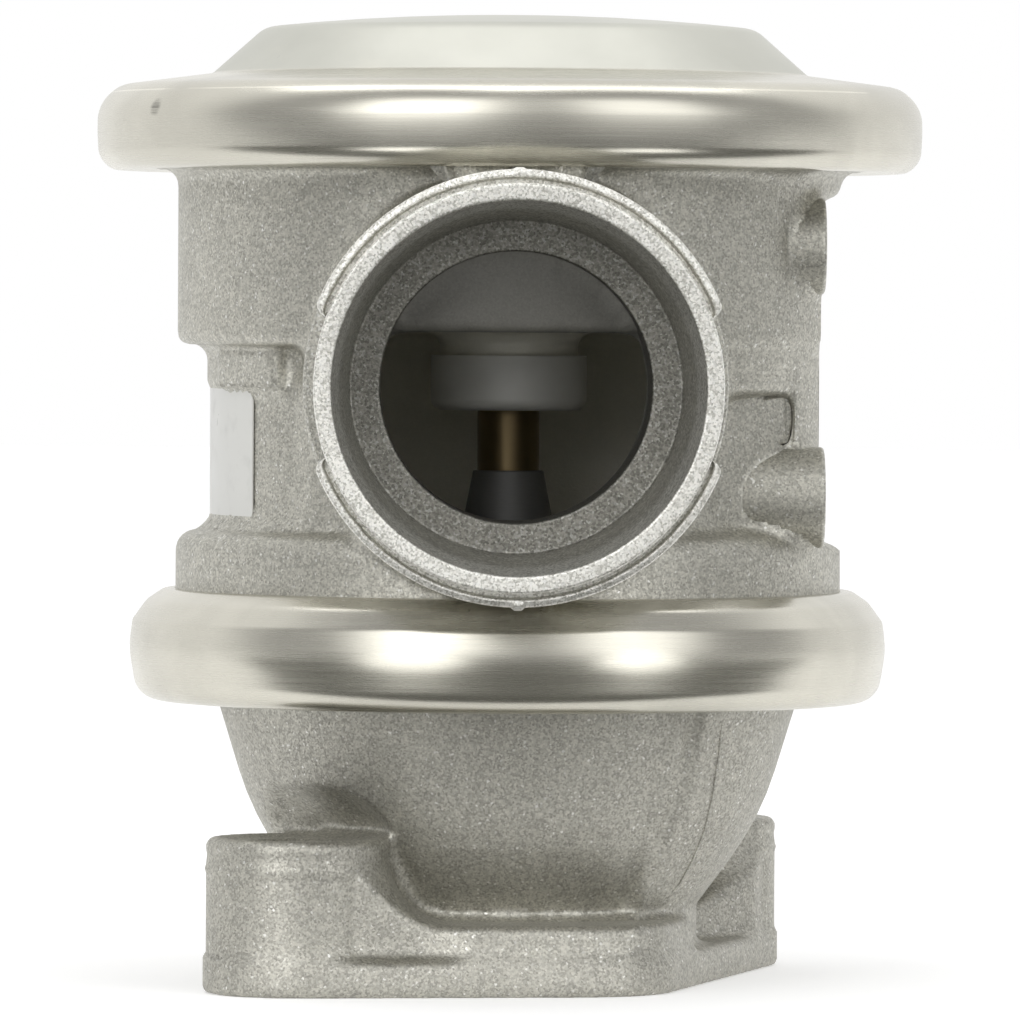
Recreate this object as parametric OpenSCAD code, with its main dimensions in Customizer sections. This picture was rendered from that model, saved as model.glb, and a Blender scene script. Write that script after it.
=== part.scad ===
// Air bypass valve for an engine: a vacuum actuator over a poppet valve, with a check valve below.
// Lengths are in millimetres. The origin lies on the mounting face, on the valve's axis.
// Z runs up the axis and the hose port points to -Y.

/* [Mounting flange] */
// Thickness of the foot plate
base_t = 3; // [2:0.1:4]
// Height of the block on the foot plate
block_t = 2.8; // [2.4:0.1:3.6]
// Step from the foot plate's edge in to the block
block_step = 0.6; // [0.3:0.1:1]
// Diameter of the circle through the two bolt holes
bolt_pcd = 50; // [49:0.1:52]
// Angle of the front bolt hole, from +X
bolt_angle = 228; // [224:1:232]
// Sideways shift of the bolt circle
bolt_shift = -0.8; // [-1.5:0.1:0]
// Radius of the bolt holes
bolt_r = 3.3; // [2.6:0.1:3.6]
// Radius of the lugs round the bolt holes
lug_r = 7.75; // [7:0.05:8.5]
// Height of the lugs
lug_h = 12.8; // [11.5:0.1:13.5]
// Radius of the machined seat under each bolt head
spot_r = 6; // [5:0.1:6.4]
// Depth of that seat
spot_depth = 0.3; // [0.2:0.05:0.5]
// Radius of the hollow that clears each bolt head
scoop_r = 8.3; // [7.8:0.1:8.8]
// Height of that hollow
scoop_h = 5; // [4.4:0.1:5.6]
// Angle over which the hollow runs on towards the flange's side
scoop_turn = 14; // [0:1:20]
// Radius of the curve from the lug down to the block
lug_round = 6; // [4:0.1:6.4]
// Radius of the flange's two other corners
corner_r = 9; // [8:0.1:10]
// Distance of those corners from the axis
corner_reach = 15.8; // [15:0.1:17]

/* [Lower body] */
// Height of the joint face between lower body and housing
parting_z = 28.5; // [28:0.1:31]
// Thickness of the lower body's joint flange
lower_flange_t = 3.8; // [3.4:0.1:4.4]
// Radius of the bowl just under its joint flange
bowl_r = 24.7; // [24:0.1:25.5]
// Radius of the bowl where its two slopes meet
knee_r = 21.3; // [21:0.1:22]
// Height at which the bowl's two slopes meet
knee_z = 13.6; // [13:0.1:14.6]
// Radius of the curve between the two slopes
knee_round = 25; // [15:1:30]
// Radius of the neck below the bowl
neck_r = 16; // [15.4:0.1:17]
// Height at which the neck meets the bowl
neck_top = 6.4; // [6:0.1:7.5]
// Radius of the outlet
outlet_r = 11.5; // [10:0.1:12.5]
// Length of the straight part of the outlet
outlet_l = 8.5; // [7:0.1:9]
// Radius of the hollow above the outlet
well_r = 14.5; // [14:0.1:15]
// Radius of the hollow round the check disc
disc_bay_r = 17.4; // [16:0.1:18]
// Thickness of the rib on each side of the bowl
rib_t = 7.4; // [5:0.1:9]
// Height of the rib above the bowl's skin
rib_h = 0.9; // [0.6:0.1:1.4]

/* [Crimp ring] */
// Outer radius of the ring
ring_r = 31.8; // [31:0.1:33]
// Sheet thickness of the ring
ring_sheet = 1.25; // [1:0.05:1.4]
// Radius of the ring's upper roll
ring_upper_roll = 2.6; // [2.2:0.1:2.9]
// Radius of the ring's lower roll
ring_lower_roll = 2.1; // [1.8:0.1:2.6]
// Inner radius of the ring's lower lip
ring_lip_r = 26.6; // [26:0.1:27.5]

/* [Housing] */
// Thickness of the housing's joint flange
housing_flange_t = 3; // [2.6:0.1:3.6]
// Radius of the collar above the ring
collar_r = 27.9; // [27.4:0.1:28.4]
// Height of the collar above the joint flange
collar_h = 5.8; // [5.2:0.1:6.2]
// Radius of the waist
waist_r = 25.3; // [25:0.1:26]
// Radius of the drum
drum_r = 27.8; // [27.5:0.1:28.4]
// Height of the drum
drum_h = 14.7; // [14:0.1:15.4]
// Distance of the flat side from the axis
flat_x = 25.7; // [25.5:0.1:26.5]
// Height of the neck between drum and clamp flange
neck_h = 1.4; // [1.2:0.1:1.8]
// Thickness of the clamp flange under the cover's rim
clamp_flange_t = 3.2; // [3:0.1:3.8]
// Thickness of the drum's wall
drum_wall = 2.4; // [2.1:0.1:2.8]
// Thickness of the deck between vacuum chamber and air
deck_t = 2.6; // [2.2:0.1:3.2]
// Radius of the air chamber in the waist
air_r = 21; // [20:0.1:21.6]
// Height of the air chamber's ceiling above the port's axis
ceiling_rise = 4.4; // [3.8:0.1:5]
// Depth of the recessed panels in the waist
panel_depth = 0.9; // [0.5:0.1:1.3]
// Distance of the raised column's inner edge from the axis
column_x = 23.3; // [22.8:0.1:24]
// Distance of the left pad's outer edge from the axis
pad_x = 24.1; // [23:0.1:24.4]
// Height of the band that runs from the column to the port, under the drum
band_h = 3.9; // [3:0.1:5]
// Width of the left pad
pad_w = 4.9; // [4:0.1:5.4]
// Height of the left pad
pad_h = 3.2; // [2.6:0.1:3.6]
// Radius of the upper side boss
side_boss_r = 3.95; // [3.4:0.05:4.2]
// Radius of the lower side boss
low_boss_r = 4.15; // [3.6:0.05:4.2]
// Height of the two side bosses above the flat side
boss_rise = 0.2; // [0.1:0.05:0.4]
// Distance in front of the axis of the two side bosses
side_boss_y = 12; // [11:0.1:13]
// Height of the lower side boss above the joint face
low_boss_rise = 12.3; // [12:0.1:13.4]
// Height between the two side bosses
boss_pitch = 20.8; // [20.4:0.1:21.4]

/* [Hose port] */
// Distance of the port's face from the valve's axis
port_reach = 44.5; // [43.5:0.1:48]
// Outer radius of the port's tube
port_r = 16.2; // [15.9:0.1:16.5]
// Outer radius of the port's root
port_root_r = 17.2; // [17:0.1:17.6]
// Distance of the root's end from the valve's axis
port_root_reach = 31.4; // [30.5:0.1:32]
// Outer radius of the port's bead
port_bead_r = 17.5; // [17.3:0.1:18]
// Width of the bead's round land
bead_land = 1.6; // [1.2:0.1:2]
// Radius of the port's mouth
mouth_r = 14.9; // [14.4:0.1:15.2]
// Radius at the bottom of the mouth
mouth_floor_r = 13.5; // [12.6:0.1:14]
// Depth of the mouth
mouth_depth = 12; // [10:0.1:12.5]
// Radius of the bore behind the mouth
port_bore_r = 11; // [10:0.1:11.3]
// Half the angle of the gap in the bead at each side
bead_gap_angle = 20; // [14:1:21]
// Gap between the port's root and the crimp ring
port_gap = 0.05; // [0.02:0.01:0.3]
// Gap between the port's root and the neck
neck_gap = 0.7; // [0.5:0.1:1.2]

/* [Vacuum hose] */
// Distance of the nipple's tip from the valve's axis
nipple_reach = 44; // [41:0.1:50]
// Outer radius of the nipple's tube
nipple_r = 2.4; // [2:0.1:2.6]
// Radius of the nipple's barb
barb_r = 2.9; // [2.7:0.1:3.2]
// Radius of the nipple's bore
nipple_bore_r = 1.2; // [0.8:0.1:1.4]
// Radius of the boss that holds the nipple
nipple_boss_r = 5.2; // [4.6:0.1:5.4]
// Distance from the chamber's wall to the end of that boss
nipple_boss_l = 6.5; // [6:0.1:7.5]
// Height of the nipple above the vacuum chamber's floor
nipple_rise = 5.4; // [5.2:0.1:6]

/* [Cover] */
// Outer radius of the cover's rim
rim_r = 34.6; // [33.8:0.1:36]
// Sheet thickness of the cover
cover_sheet = 1.2; // [1:0.05:1.3]
// Rise of the cover's rim from its edge to the dome's foot
rim_rise = 1.25; // [1:0.05:1.6]
// Height of the dome's shoulder above the rim
dome_h = 3.9; // [3.6:0.1:5]
// Radius of the dome's foot
dome_foot_r = 25; // [24.8:0.1:25.8]
// Radius of the dome's shoulder
dome_shoulder_r = 20.6; // [19.8:0.1:21.4]
// Rise of the dome's crown above its shoulder
crown_rise = 1.1; // [0.8:0.1:1.6]
// Radius of the roll at the rim's top
rim_upper_roll = 3; // [2.6:0.1:3.2]
// Radius of the roll at the rim's bottom
rim_lower_roll = 2.6; // [2.3:0.1:2.8]
// Radius of the breather hole in the cover
breather_r = 1.2; // [0.8:0.1:1.6]

/* [Actuator] */
// Thickness of the diaphragm
rubber_t = 0.9; // [0.7:0.05:1.1]
// Radius of the stem
stem_r = 2.6; // [2.4:0.05:2.8]
// Radius of the stem's threaded ends
thread_r = 2; // [1.7:0.05:2.1]
// Sheet thickness of the plates on the diaphragm
plate_t = 1; // [0.8:0.05:1.2]
// Width of the space round the lower plate's skirt
loop_w = 4.4; // [4.2:0.05:4.8]
// Step from the skirt in to the upper plate's edge
plate_step = 1.6; // [1:0.1:3]
// Depth of the lower plate's skirt
skirt_h = 5; // [4:0.1:6]
// Height of the diaphragm's middle above its clamped edge
diaphragm_rise = 2.5; // [2.2:0.1:2.8]
// Width across the flats of the two nuts
nut_af = 8; // [7:0.1:9]
// Thickness of the two nuts
nut_t = 2; // [1.8:0.1:2.2]
// Wire thickness of the return spring
wire_d = 1.8; // [1.4:0.1:2]
// Radius of the return spring at the middle of its wire
coil_r = 16; // [15:0.1:17]
// Turns of the return spring
coil_turns = 6; // [5:0.5:6.5]
// Outer radius of the guide bush
bush_r = 4.2; // [3.8:0.1:4.5]
// Radius of the guide boss
guide_r = 5.8; // [5.5:0.1:6.2]
// Height of the guide boss above the deck
guide_rise = 3; // [2.4:0.1:3.6]
// Depth of the guide boss below the air chamber's ceiling
guide_drop = 3.4; // [3:0.1:3.8]
// Height of the rubber seal under the guide boss
stem_seal_h = 2.1; // [1.8:0.1:2.4]
// Height of the rim of the washer under the return spring
washer_h = 3; // [2:0.1:3.6]
// Space between the return spring and that rim
washer_gap = 0.9; // [0.4:0.1:1.2]
// Wall of the seal's retainer
retainer_wall = 0.7; // [0.5:0.05:0.8]
// Height of the seal's retainer
retainer_h = 4.6; // [4.2:0.1:5]

/* [Poppet valve] */
// Thickness of the web that holds the seat
web_t = 2.5; // [2.2:0.1:3]
// Radius of the opening in the seat
seat_r = 11.5; // [11:0.1:12]
// Width of the seat's raised edge
seat_w = 1; // [0.8:0.1:1.2]
// Height of the seat's raised edge
seat_h = 0.4; // [0.3:0.05:0.6]
// Thickness of the poppet's rubber
seal_t = 1.6; // [1.3:0.1:1.9]
// Thickness of the poppet's backing plate
backing_t = 1.2; // [1:0.1:1.5]
// Radius of the poppet's flange
poppet_r = 9.5; // [8:0.1:10]
// Height of the poppet's hub
hub_h = 7.7; // [7:0.1:8.2]
// Travel of the poppet
lift = 5; // [4:0.1:5.2]

/* [Check valve] */
// Radius of the plate with the windows
check_plate_r = 19.6; // [18.8:0.1:20]
// Thickness of that plate
check_plate_t = 1.2; // [1:0.1:1.4]
// Inner radius of the windows
window_in_r = 5.5; // [5:0.1:6.5]
// Outer radius of the windows
window_out_r = 11; // [10:0.1:11.5]
// Width of the spokes between the windows
spoke_w = 2.4; // [1.8:0.1:3]
// Number of windows
windows = 4; // [3:1:6]
// Radius of the check disc
disc_r = 13; // [12.4:0.1:13.5]
// Thickness of the check disc
disc_t = 1; // [0.8:0.1:1.2]
// Radius of the pin that guides the disc
pin_r = 1.5; // [1.3:0.05:1.7]
// Wire thickness of the check spring
light_wire_d = 0.65; // [0.5:0.05:0.7]
// Radius of the check spring at the middle of its wire
light_coil_r = 4; // [3.6:0.1:4.6]
// Turns of the check spring
light_turns = 3.5; // [3:0.5:4]
// Length of the check spring with the disc closed
light_coil_l = 4.75; // [4.4:0.05:5.2]
// Radius of the spring's retainer
cup_r = 8.5; // [7.5:0.1:9.5]
// Section thickness of the O-ring
ring_seal_d = 1.7; // [1.4:0.1:1.9]
// Radius of the O-ring at the middle of its section
ring_seal_r = 24.5; // [23.6:0.1:25.2]

/* [Fits] */
// Clearance round pieces that stay still in each other
still_gap = 0.05; // [0.02:0.01:0.1]
// Clearance round pieces that slide on each other
slide_gap = 0.05; // [0.02:0.01:0.08]
// Gap between a closed valve's face and its seat
seat_gap = 0.05; // [0.02:0.01:0.1]
// Space that a rubber face keeps from its neighbours
rubber_gap = 0.3; // [0.2:0.05:0.35]

/* [Hidden] */
$fn = 96;
// Largest angle between two points of a rounded corner
arc_step = 9;
// Overlap that lets a cut pass cleanly through a face
over = 1;

// Heights of the joint and of the port
lower_flange_z = parting_z - lower_flange_t;
housing_flange_z = parting_z + housing_flange_t;
ring_top_z = housing_flange_z + ring_sheet;
ring_low_z = lower_flange_z - ring_sheet;
joint_r = ring_r - ring_sheet - still_gap;
port_z = ring_top_z + port_gap + port_root_r;
collar_z = housing_flange_z + collar_h;
neck_z = port_z + port_root_r + neck_gap;
drum_z = neck_z - drum_h;
clamp_low_z = neck_z + neck_h;
clamp_z = clamp_low_z + clamp_flange_t;

// Heights of the chambers
ceiling_z = port_z + ceiling_rise;
deck_z = ceiling_z + deck_t;
chamber_r = drum_r - drum_wall;
skirt_r = chamber_r - loop_w;
upper_plate_r = skirt_r - plate_step;
air_floor_z = port_z - port_bore_r - 1;
web_z = air_floor_z - web_t;
boss_top_z = deck_z + guide_rise;
// Distance from the axis at which the panels beside the port and the side bosses begin
panel_x = 14;
guide_low_z = ceiling_z - guide_drop;

// Cover, from the clamp flange out
clamp_r = rim_r - cover_sheet - still_gap;
rim_edge_z = clamp_z + rubber_t + cover_sheet + still_gap;
dome_foot_z = rim_edge_z + rim_rise;
dome_shoulder_z = dome_foot_z + dome_h;
crown_z = dome_shoulder_z + crown_rise;
lip_z = clamp_low_z - cover_sheet - still_gap;
lip_r = rim_r - 3.9;

// Diaphragm and its plates
middle_z = clamp_z + diaphragm_rise;
plate_low_z = middle_z - plate_t;
plate_high_z = middle_z + rubber_t;
nut_z = plate_high_z + plate_t;
stem_top_z = nut_z + nut_t + 0.3;
loop_depth = skirt_h + 1.4;
seat_washer_t = 0.8;

// Poppet, from the seat down
poppet_z = web_z - seat_h - seat_gap;
backing_z = poppet_z - seal_t - backing_t;
poppet_nut_z = backing_z - nut_t - 0.8;
stem_low_z = poppet_nut_z - 0.4;
poppet_flange_t = 1.2;
seal_r = seat_r + seat_w + 1.3;

// Check valve, under the open poppet
pin_head_t = 0.8;
check_z = stem_low_z - lift - 0.65 - pin_head_t;
check_low_z = check_z - check_plate_t;
disc_z = check_low_z - seat_gap;
cup_z = disc_z - disc_t - light_coil_l;
cup_t = 0.8;
pin_low_z = cup_z - cup_t - pin_head_t;

// Bolt holes
bolt_places = [for (turn = [0, 180]) [
    bolt_shift + bolt_pcd / 2 * cos(bolt_angle + turn),
    bolt_pcd / 2 * sin(bolt_angle + turn)]];
corner_places = [for (turn = [0, 180])
    corner_reach * [cos(bolt_angle + 60.5 + turn), sin(bolt_angle + 60.5 + turn)]];
lug_side = 0.25;
// Depth to which a cut or a foot runs on into the next piece of the same casting
sunk = 0.4;

function unit(v) = v / norm(v);
function xy(p) = [p[0], p[1]];

// Points of an arc round c, from angle a0, over the signed angle sweep
function arc(c, r, a0, sweep) =
    let (n = max(2, ceil(abs(sweep) / arc_step)))
    [for (i = [0:n]) c + r * [cos(a0 + sweep * i / n), sin(a0 + sweep * i / n)]];

// Points that round the corner b, between a and c, to the radius r, limited by the shorter side
function corner(a, b, c, r) =
    let (u = unit(a - b),
        v = unit(c - b),
        half = acos(max(-1, min(1, u * v))) / 2,
        size = min(r, tan(half) * min(norm(a - b), norm(c - b)) * 0.499))
    size < 0.01 || half > 89.5 ? [b] :
    let (centre = b + unit(u + v) * size / sin(half),
        start = b + u * size / tan(half) - centre,
        end = b + v * size / tan(half) - centre,
        a0 = atan2(start[1], start[0]),
        sweep = (atan2(end[1], end[0]) - a0 + 540) % 360 - 180)
    arc(centre, size, a0, sweep);

// A closed outline from corners [x, y, radius]
function rounded(pts) = [for (i = [0:len(pts) - 1])
    let (p = pts[i], a = pts[(i + len(pts) - 1) % len(pts)], c = pts[(i + 1) % len(pts)])
    each corner(xy(a), xy(p), xy(c), p[2])];

// An open path from corners [x, y, radius], with its ends kept sharp
function open_path(pts) = [for (i = [0:len(pts) - 1])
    each (i == 0 || i == len(pts) - 1 ? [xy(pts[i])]
        : corner(xy(pts[i - 1]), xy(pts[i]), xy(pts[i + 1]), pts[i][2]))];

// The left-hand normal of the step from a to b
function left(a, b) = let (u = unit(xy(b) - xy(a))) [-u[1], u[0]];

// The same path, moved by t to its left, with its radii corrected
function shifted(pts, t) = [for (i = [0:len(pts) - 1])
    let (n0 = left(pts[max(0, i - 1)], pts[max(1, i)]),
        n1 = left(pts[min(len(pts) - 2, i)], pts[min(len(pts) - 1, i + 1)]),
        p = xy(pts[i]) + t * (n0 + n1) / (1 + n0 * n1),
        turn = n0[0] * n1[1] - n0[1] * n1[0])
    [p[0], p[1], turn > 0 ? max(0, pts[i][2] - t) : pts[i][2] + t]];

// The section of a bent sheet: its right-hand face follows the path, its thickness lies to the left
function sheet(pts, t) =
    let (far = open_path(shifted(pts, t)))
    concat(open_path(pts), [for (i = [len(far) - 1:-1:0]) far[i]]);

// The outward direction of the straight side that joins the circles a and b
function side_angle(a, b) =
    let (d = xy(b) - xy(a))
    atan2(d[1], d[0]) - acos((a[2] - b[2]) / norm(d));

// The outline of a band round the circles [x, y, radius], given anticlockwise
function band(cs) = [for (i = [0:len(cs) - 1])
    let (c = cs[i],
        a0 = side_angle(cs[(i + len(cs) - 1) % len(cs)], c),
        a1 = side_angle(c, cs[(i + 1) % len(cs)]))
    each arc(xy(c), c[2], a0, (a1 - a0 + 720) % 360)];

// Height along a coil spring's wire after n turns: its end turns lie closed
function coil_height(n, turns, d, height) =
    let (shut = d * 1.05, run = height - d)
    n < 1 ? n * shut :
    n > turns - 1 ? run - (turns - n) * shut :
    shut + (n - 1) * (run - 2 * shut) / (turns - 2);

// A solid of revolution about Z
module spun(pts) {
    rotate_extrude() polygon(pts);
}

// A flat ring or tube
module ring(r_out, r_in, z0, z1) {
    translate([0, 0, z0]) difference() {
        cylinder(r = r_out, h = z1 - z0);
        translate([0, 0, -over]) cylinder(r = r_in, h = z1 - z0 + 2 * over);
    }
}

// Turns the valve's axis to the port's axis, with Z as the distance to the front
module on_port_axis() {
    translate([0, 0, port_z]) rotate([90, 0, 0]) children();
}

// Turns the valve's axis to the nipple's axis, with Z as the distance to the back
module on_nipple_axis() {
    translate([0, 0, deck_z + nipple_rise]) rotate([-90, 0, 0]) children();
}

// A coil spring of round wire that stands on z0
module coil_spring(r, d, turns, z0, height, steps, sides) {
    last = turns * steps;
    points = [for (i = [0:last], k = [0:sides - 1])
        let (a = 360 * i / steps,
            b = 360 * k / sides,
            out = r + d / 2 * cos(b))
        [out * cos(a), out * sin(a), z0 + d / 2 * (1 + sin(b)) + coil_height(i / steps, turns, d, height)]];
    skin = [for (i = [0:last - 1], k = [0:sides - 1])
        let (j = (k + 1) % sides)
        [i * sides + k, i * sides + j, (i + 1) * sides + j, (i + 1) * sides + k]];
    ends = [[for (k = [sides - 1:-1:0]) k], [for (k = [0:sides - 1]) last * sides + k]];
    polyhedron(points, concat(skin, ends));
}

// A hexagon nut that stands on z0
module nut(af, r_in, z0, h) {
    translate([0, 0, z0]) difference() {
        cylinder(r = af / 2 / cos(30), h = h, $fn = 6);
        translate([0, 0, -over]) cylinder(r = r_in, h = h + 2 * over);
    }
}

// Domed steel cover, rolled over the housing's clamp flange
module cover() {
    crown = [for (i = [0:5]) let (r = dome_shoulder_r * i / 6)
        [r, crown_z - crown_rise * pow(r / dome_shoulder_r, 2), 0]];
    face = concat(
        [[lip_r, lip_z, 0], [rim_r, lip_z, rim_lower_roll], [rim_r, rim_edge_z, rim_upper_roll],
            [dome_foot_r, dome_foot_z, 0.8], [dome_shoulder_r, dome_shoulder_z, 2.4]],
        [for (i = [len(crown) - 1:-1:0]) crown[i]]);
    color("gainsboro") difference() {
        rotate_extrude() intersection() {
            polygon(sheet(face, cover_sheet));
            square([rim_r + over, crown_z + over]);
        }
        translate([0, (dome_foot_r + dome_shoulder_r) / 2, dome_foot_z - 2 * over])
            cylinder(r = breather_r, h = dome_h + 3 * over, $fn = 32);
    }
}

// Outer skin of the housing before its port and bosses
module housing_skin() {
    difference() {
        spun(rounded([
            [0, parting_z, 0],
            [joint_r, parting_z, 0.4],
            [joint_r, housing_flange_z, 1.4],
            [collar_r, housing_flange_z, 0],
            [collar_r, collar_z, 2],
            [waist_r, collar_z + 0.6, 0.8],
            [waist_r, drum_z, 0.3],
            [drum_r, drum_z, 1],
            [drum_r, neck_z, 2],
            [lip_r - still_gap, neck_z, 0],
            [lip_r - still_gap, clamp_low_z, 0],
            [clamp_r, clamp_low_z, 1.5],
            [clamp_r, clamp_z, 1.6],
            [0, clamp_z, 0]]));
        translate([flat_x, -drum_r, collar_z - 0.6])
            cube([drum_r, 2 * drum_r, neck_z - 1.6 - collar_z]);
    }
}

// Raised column at the flat side of the waist, its band under the drum, and the raised pad at the left
module waist_pads() {
    intersection() {
        translate([0, 0, collar_z - 0.6]) cylinder(r = drum_r - 0.6, h = drum_z - collar_z + over);
        union() {
            translate([column_x, -drum_r, collar_z - 0.6])
                cube([flat_x - column_x, 2 * drum_r, drum_z - collar_z + over]);
            translate([panel_x, -drum_r, drum_z - band_h])
                cube([flat_x - panel_x, drum_r, band_h + 0.4]);
        }
    }
    intersection() {
        translate([0, 0, drum_z - pad_h - 0.5]) cylinder(r = waist_r + 0.35, h = pad_h);
        translate([-pad_x, -drum_r, 0]) cube([pad_w, drum_r, neck_z]);
    }
}

// Shallow panels cast into the waist, beside the port
module waist_panels() {
    difference() {
        union() {
            translate([panel_x, -drum_r, collar_z + 0.7])
                cube([column_x - panel_x, drum_r - 8, drum_z - band_h - collar_z - 0.7]);
            translate([pad_w - pad_x + 0.1, -drum_r, drum_z - pad_h - 0.5])
                cube([pad_x - pad_w - panel_x, drum_r, pad_h + 0.49]);
        }
        cylinder(r = waist_r - panel_depth, h = neck_z);
    }
}

// Hose port without its bores: root, tube and interrupted bead
module port_skin() {
    bead_z = port_reach - 1.4 - bead_land;
    gap_h = 2 * port_bead_r * sin(bead_gap_angle);
    on_port_axis() {
        spun(rounded([
            [0, 5, 0],
            [port_root_r, 5, 0],
            [port_root_r, port_root_reach, 0.8],
            [port_r, port_root_reach + 0.6, 0.4],
            [port_r, port_reach, 0.5],
            [0, port_reach, 0]]));
        difference() {
            spun([
                [port_r - over, bead_z - 0.5],
                [port_r, bead_z - 0.5],
                [port_bead_r, bead_z],
                [port_bead_r, bead_z + bead_land],
                [port_r + 0.3, port_reach - 0.4],
                [port_r - over, port_reach - 0.4]]);
            for (side = [-1, 1])
                translate([side * (port_r + 10.01), 0, port_reach])
                    cube([20, gap_h, 20], center = true);
        }
    }
}

// Bosses on the housing's outside
module housing_bosses() {
    for (boss = [[low_boss_r, low_boss_rise], [side_boss_r, low_boss_rise + boss_pitch]])
        translate([panel_x, -side_boss_y, parting_z + boss[1]]) rotate([0, 90, 0])
            cylinder(r = boss[0], h = flat_x + boss_rise - panel_x);
    on_nipple_axis() translate([0, 0, chamber_r - over]) 
        cylinder(r = nipple_boss_r, h = nipple_boss_l + over);
}

// Air path and chambers inside the housing
module housing_bores() {
    // vacuum chamber with a rounded edge under the diaphragm
    spun(rounded([[0, deck_z, 0], [chamber_r, deck_z, 1.2], [chamber_r, clamp_z - 1.2, 0],
        [chamber_r + 1.2, clamp_z, 0], [chamber_r + 1.2, clamp_z + over, 0], [0, clamp_z + over, 0]]));
    // air chamber, seat and the space under the seat
    translate([0, 0, air_floor_z]) cylinder(r = air_r, h = ceiling_z - air_floor_z);
    cylinder(r = seat_r, h = ceiling_z - over);
    translate([0, 0, parting_z - over]) cylinder(r = air_r, h = web_z - parting_z + over);
    // mouth and bore of the port, which stops at the wall of the vacuum chamber
    on_port_axis() spun([
        [0, port_reach - mouth_depth],
        [mouth_floor_r, port_reach - mouth_depth],
        [mouth_r, port_reach + 0.01],
        [0, port_reach + 0.01]]);
    difference() {
        on_port_axis() cylinder(r = port_bore_r, h = port_reach - mouth_depth + over);
        translate([0, 0, ceiling_z]) cylinder(r = drum_r, h = clamp_z);
    }
    // way from the nipple into the vacuum chamber
    on_nipple_axis() cylinder(r = nipple_r + still_gap, h = chamber_r + nipple_boss_l + over);
}

// Die-cast housing
module housing() {
    color("darkgray") difference() {
        union() {
            difference() {
                union() {
                    housing_skin();
                    waist_pads();
                }
                waist_panels();
            }
            port_skin();
            housing_bosses();
            translate([0, 0, web_z - seat_h]) cylinder(r = seat_r + seat_w, h = over);
        }
        difference() {
            housing_bores();
            // guide boss that hangs from the deck and stands on it
            translate([0, 0, guide_low_z]) cylinder(r = guide_r, h = boss_top_z - guide_low_z);
            // raised edge of the seat
            ring(seat_r + seat_w, seat_r, web_z - seat_h, web_z + 0.01);
        }
        translate([0, 0, guide_low_z - over])
            cylinder(r = bush_r + still_gap, h = boss_top_z - guide_low_z + 2 * over);
    }
}

// Rolled ring that joins housing and lower body
module crimp_ring() {
    color("gainsboro") spun(sheet([
        [ring_lip_r, ring_low_z, 0],
        [ring_r, ring_low_z, ring_lower_roll],
        [ring_r, ring_top_z, ring_upper_roll],
        [collar_r + still_gap, ring_top_z, 0]], ring_sheet));
}

// Outer profile of the bowl, raised by h above its skin
function bowl_profile(h) = [
    [0, base_t, 0],
    [neck_r + h, base_t, 0],
    [neck_r + h, neck_top, 0.4],
    [knee_r + h, knee_z - h / 2, knee_round],
    [bowl_r + h, lower_flange_z, 0],
    [0, lower_flange_z, 0]];

// Rib down each side of the bowl, between the two lugs
module bowl_ribs() {
    for (turn = [90, 270])
        rotate([0, 0, bolt_angle + turn]) intersection() {
            spun(rounded(bowl_profile(rib_h)));
            translate([0, -rib_t / 2, 0]) cube([2 * bowl_r, rib_t, parting_z]);
        }
}

// Foot of a lug, which curves down into the block
module lug_foot(p) {
    foot_r = lug_r - lug_side - 0.1;
    low = base_t + block_t - 0.1;
    curve = [for (a = [270:-15:180]) [foot_r + lug_round * (1 + cos(a)), low + lug_round * (1 + sin(a))]];
    translate([p[0], p[1], 0])
        spun(concat([[0, 1], [foot_r + lug_round, 1]], curve, [[0, low + lug_round]]));
}

// Foot plate, block and lugs
module mounting_flange() {
    circles = [for (i = [0, 1]) each [
        [bolt_places[i][0], bolt_places[i][1], lug_r],
        [corner_places[i][0], corner_places[i][1], corner_r]]];
    inner = band([for (c = circles) [c[0], c[1], c[2] - block_step]]);
    linear_extrude(base_t) polygon(band(circles));
    difference() {
        union() {
            linear_extrude(base_t + block_t) polygon(inner);
            intersection() {
                linear_extrude(lug_h) polygon(inner);
                union() {
                    lug_foot(bolt_places[0]);
                    lug_foot(bolt_places[1]);
                }
            }
        }
        // shallow hollow at the front of the block, and its twin at the back
        for (side = [-1, 1])
            translate([side * 7.8, side * (corner_reach + corner_r + 10.6), -over])
                cylinder(r = 12, h = lug_h + 2 * over);
        // the block ends at the ribs, and leaves the foot plate bare beyond them
        for (turn = [90, 270])
            rotate([0, 0, bolt_angle + turn]) translate([neck_r / 2, rib_t / 2, -over])
                cube([2 * bolt_pcd, 2 * bolt_pcd, lug_h + 2 * over]);
    }
    for (p = bolt_places) {
        translate([p[0], p[1], 0]) cylinder(r = lug_r - lug_side, h = lug_h);
        // web from the lug to the neck
        rotate([0, 0, atan2(p[1], p[0])]) translate([neck_r - 3, 3 - lug_r, 0])
            cube([norm(p) - neck_r + 3, 2 * lug_r - 6, lug_h]);
    }
}

// Domed hollow above a lug, which runs on round the bowl
module lug_scoop(p) {
    ball_r = (scoop_r * scoop_r + scoop_h * scoop_h) / (2 * scoop_h);
    for (turn = [0, 0.5, 1])
        rotate([0, 0, -turn * scoop_turn]) translate([p[0], p[1], lug_h - sunk]) intersection() {
            translate([0, 0, scoop_h - ball_r]) sphere(r = ball_r);
            cylinder(r = scoop_r + over, h = scoop_h + over);
        }
}

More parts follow.
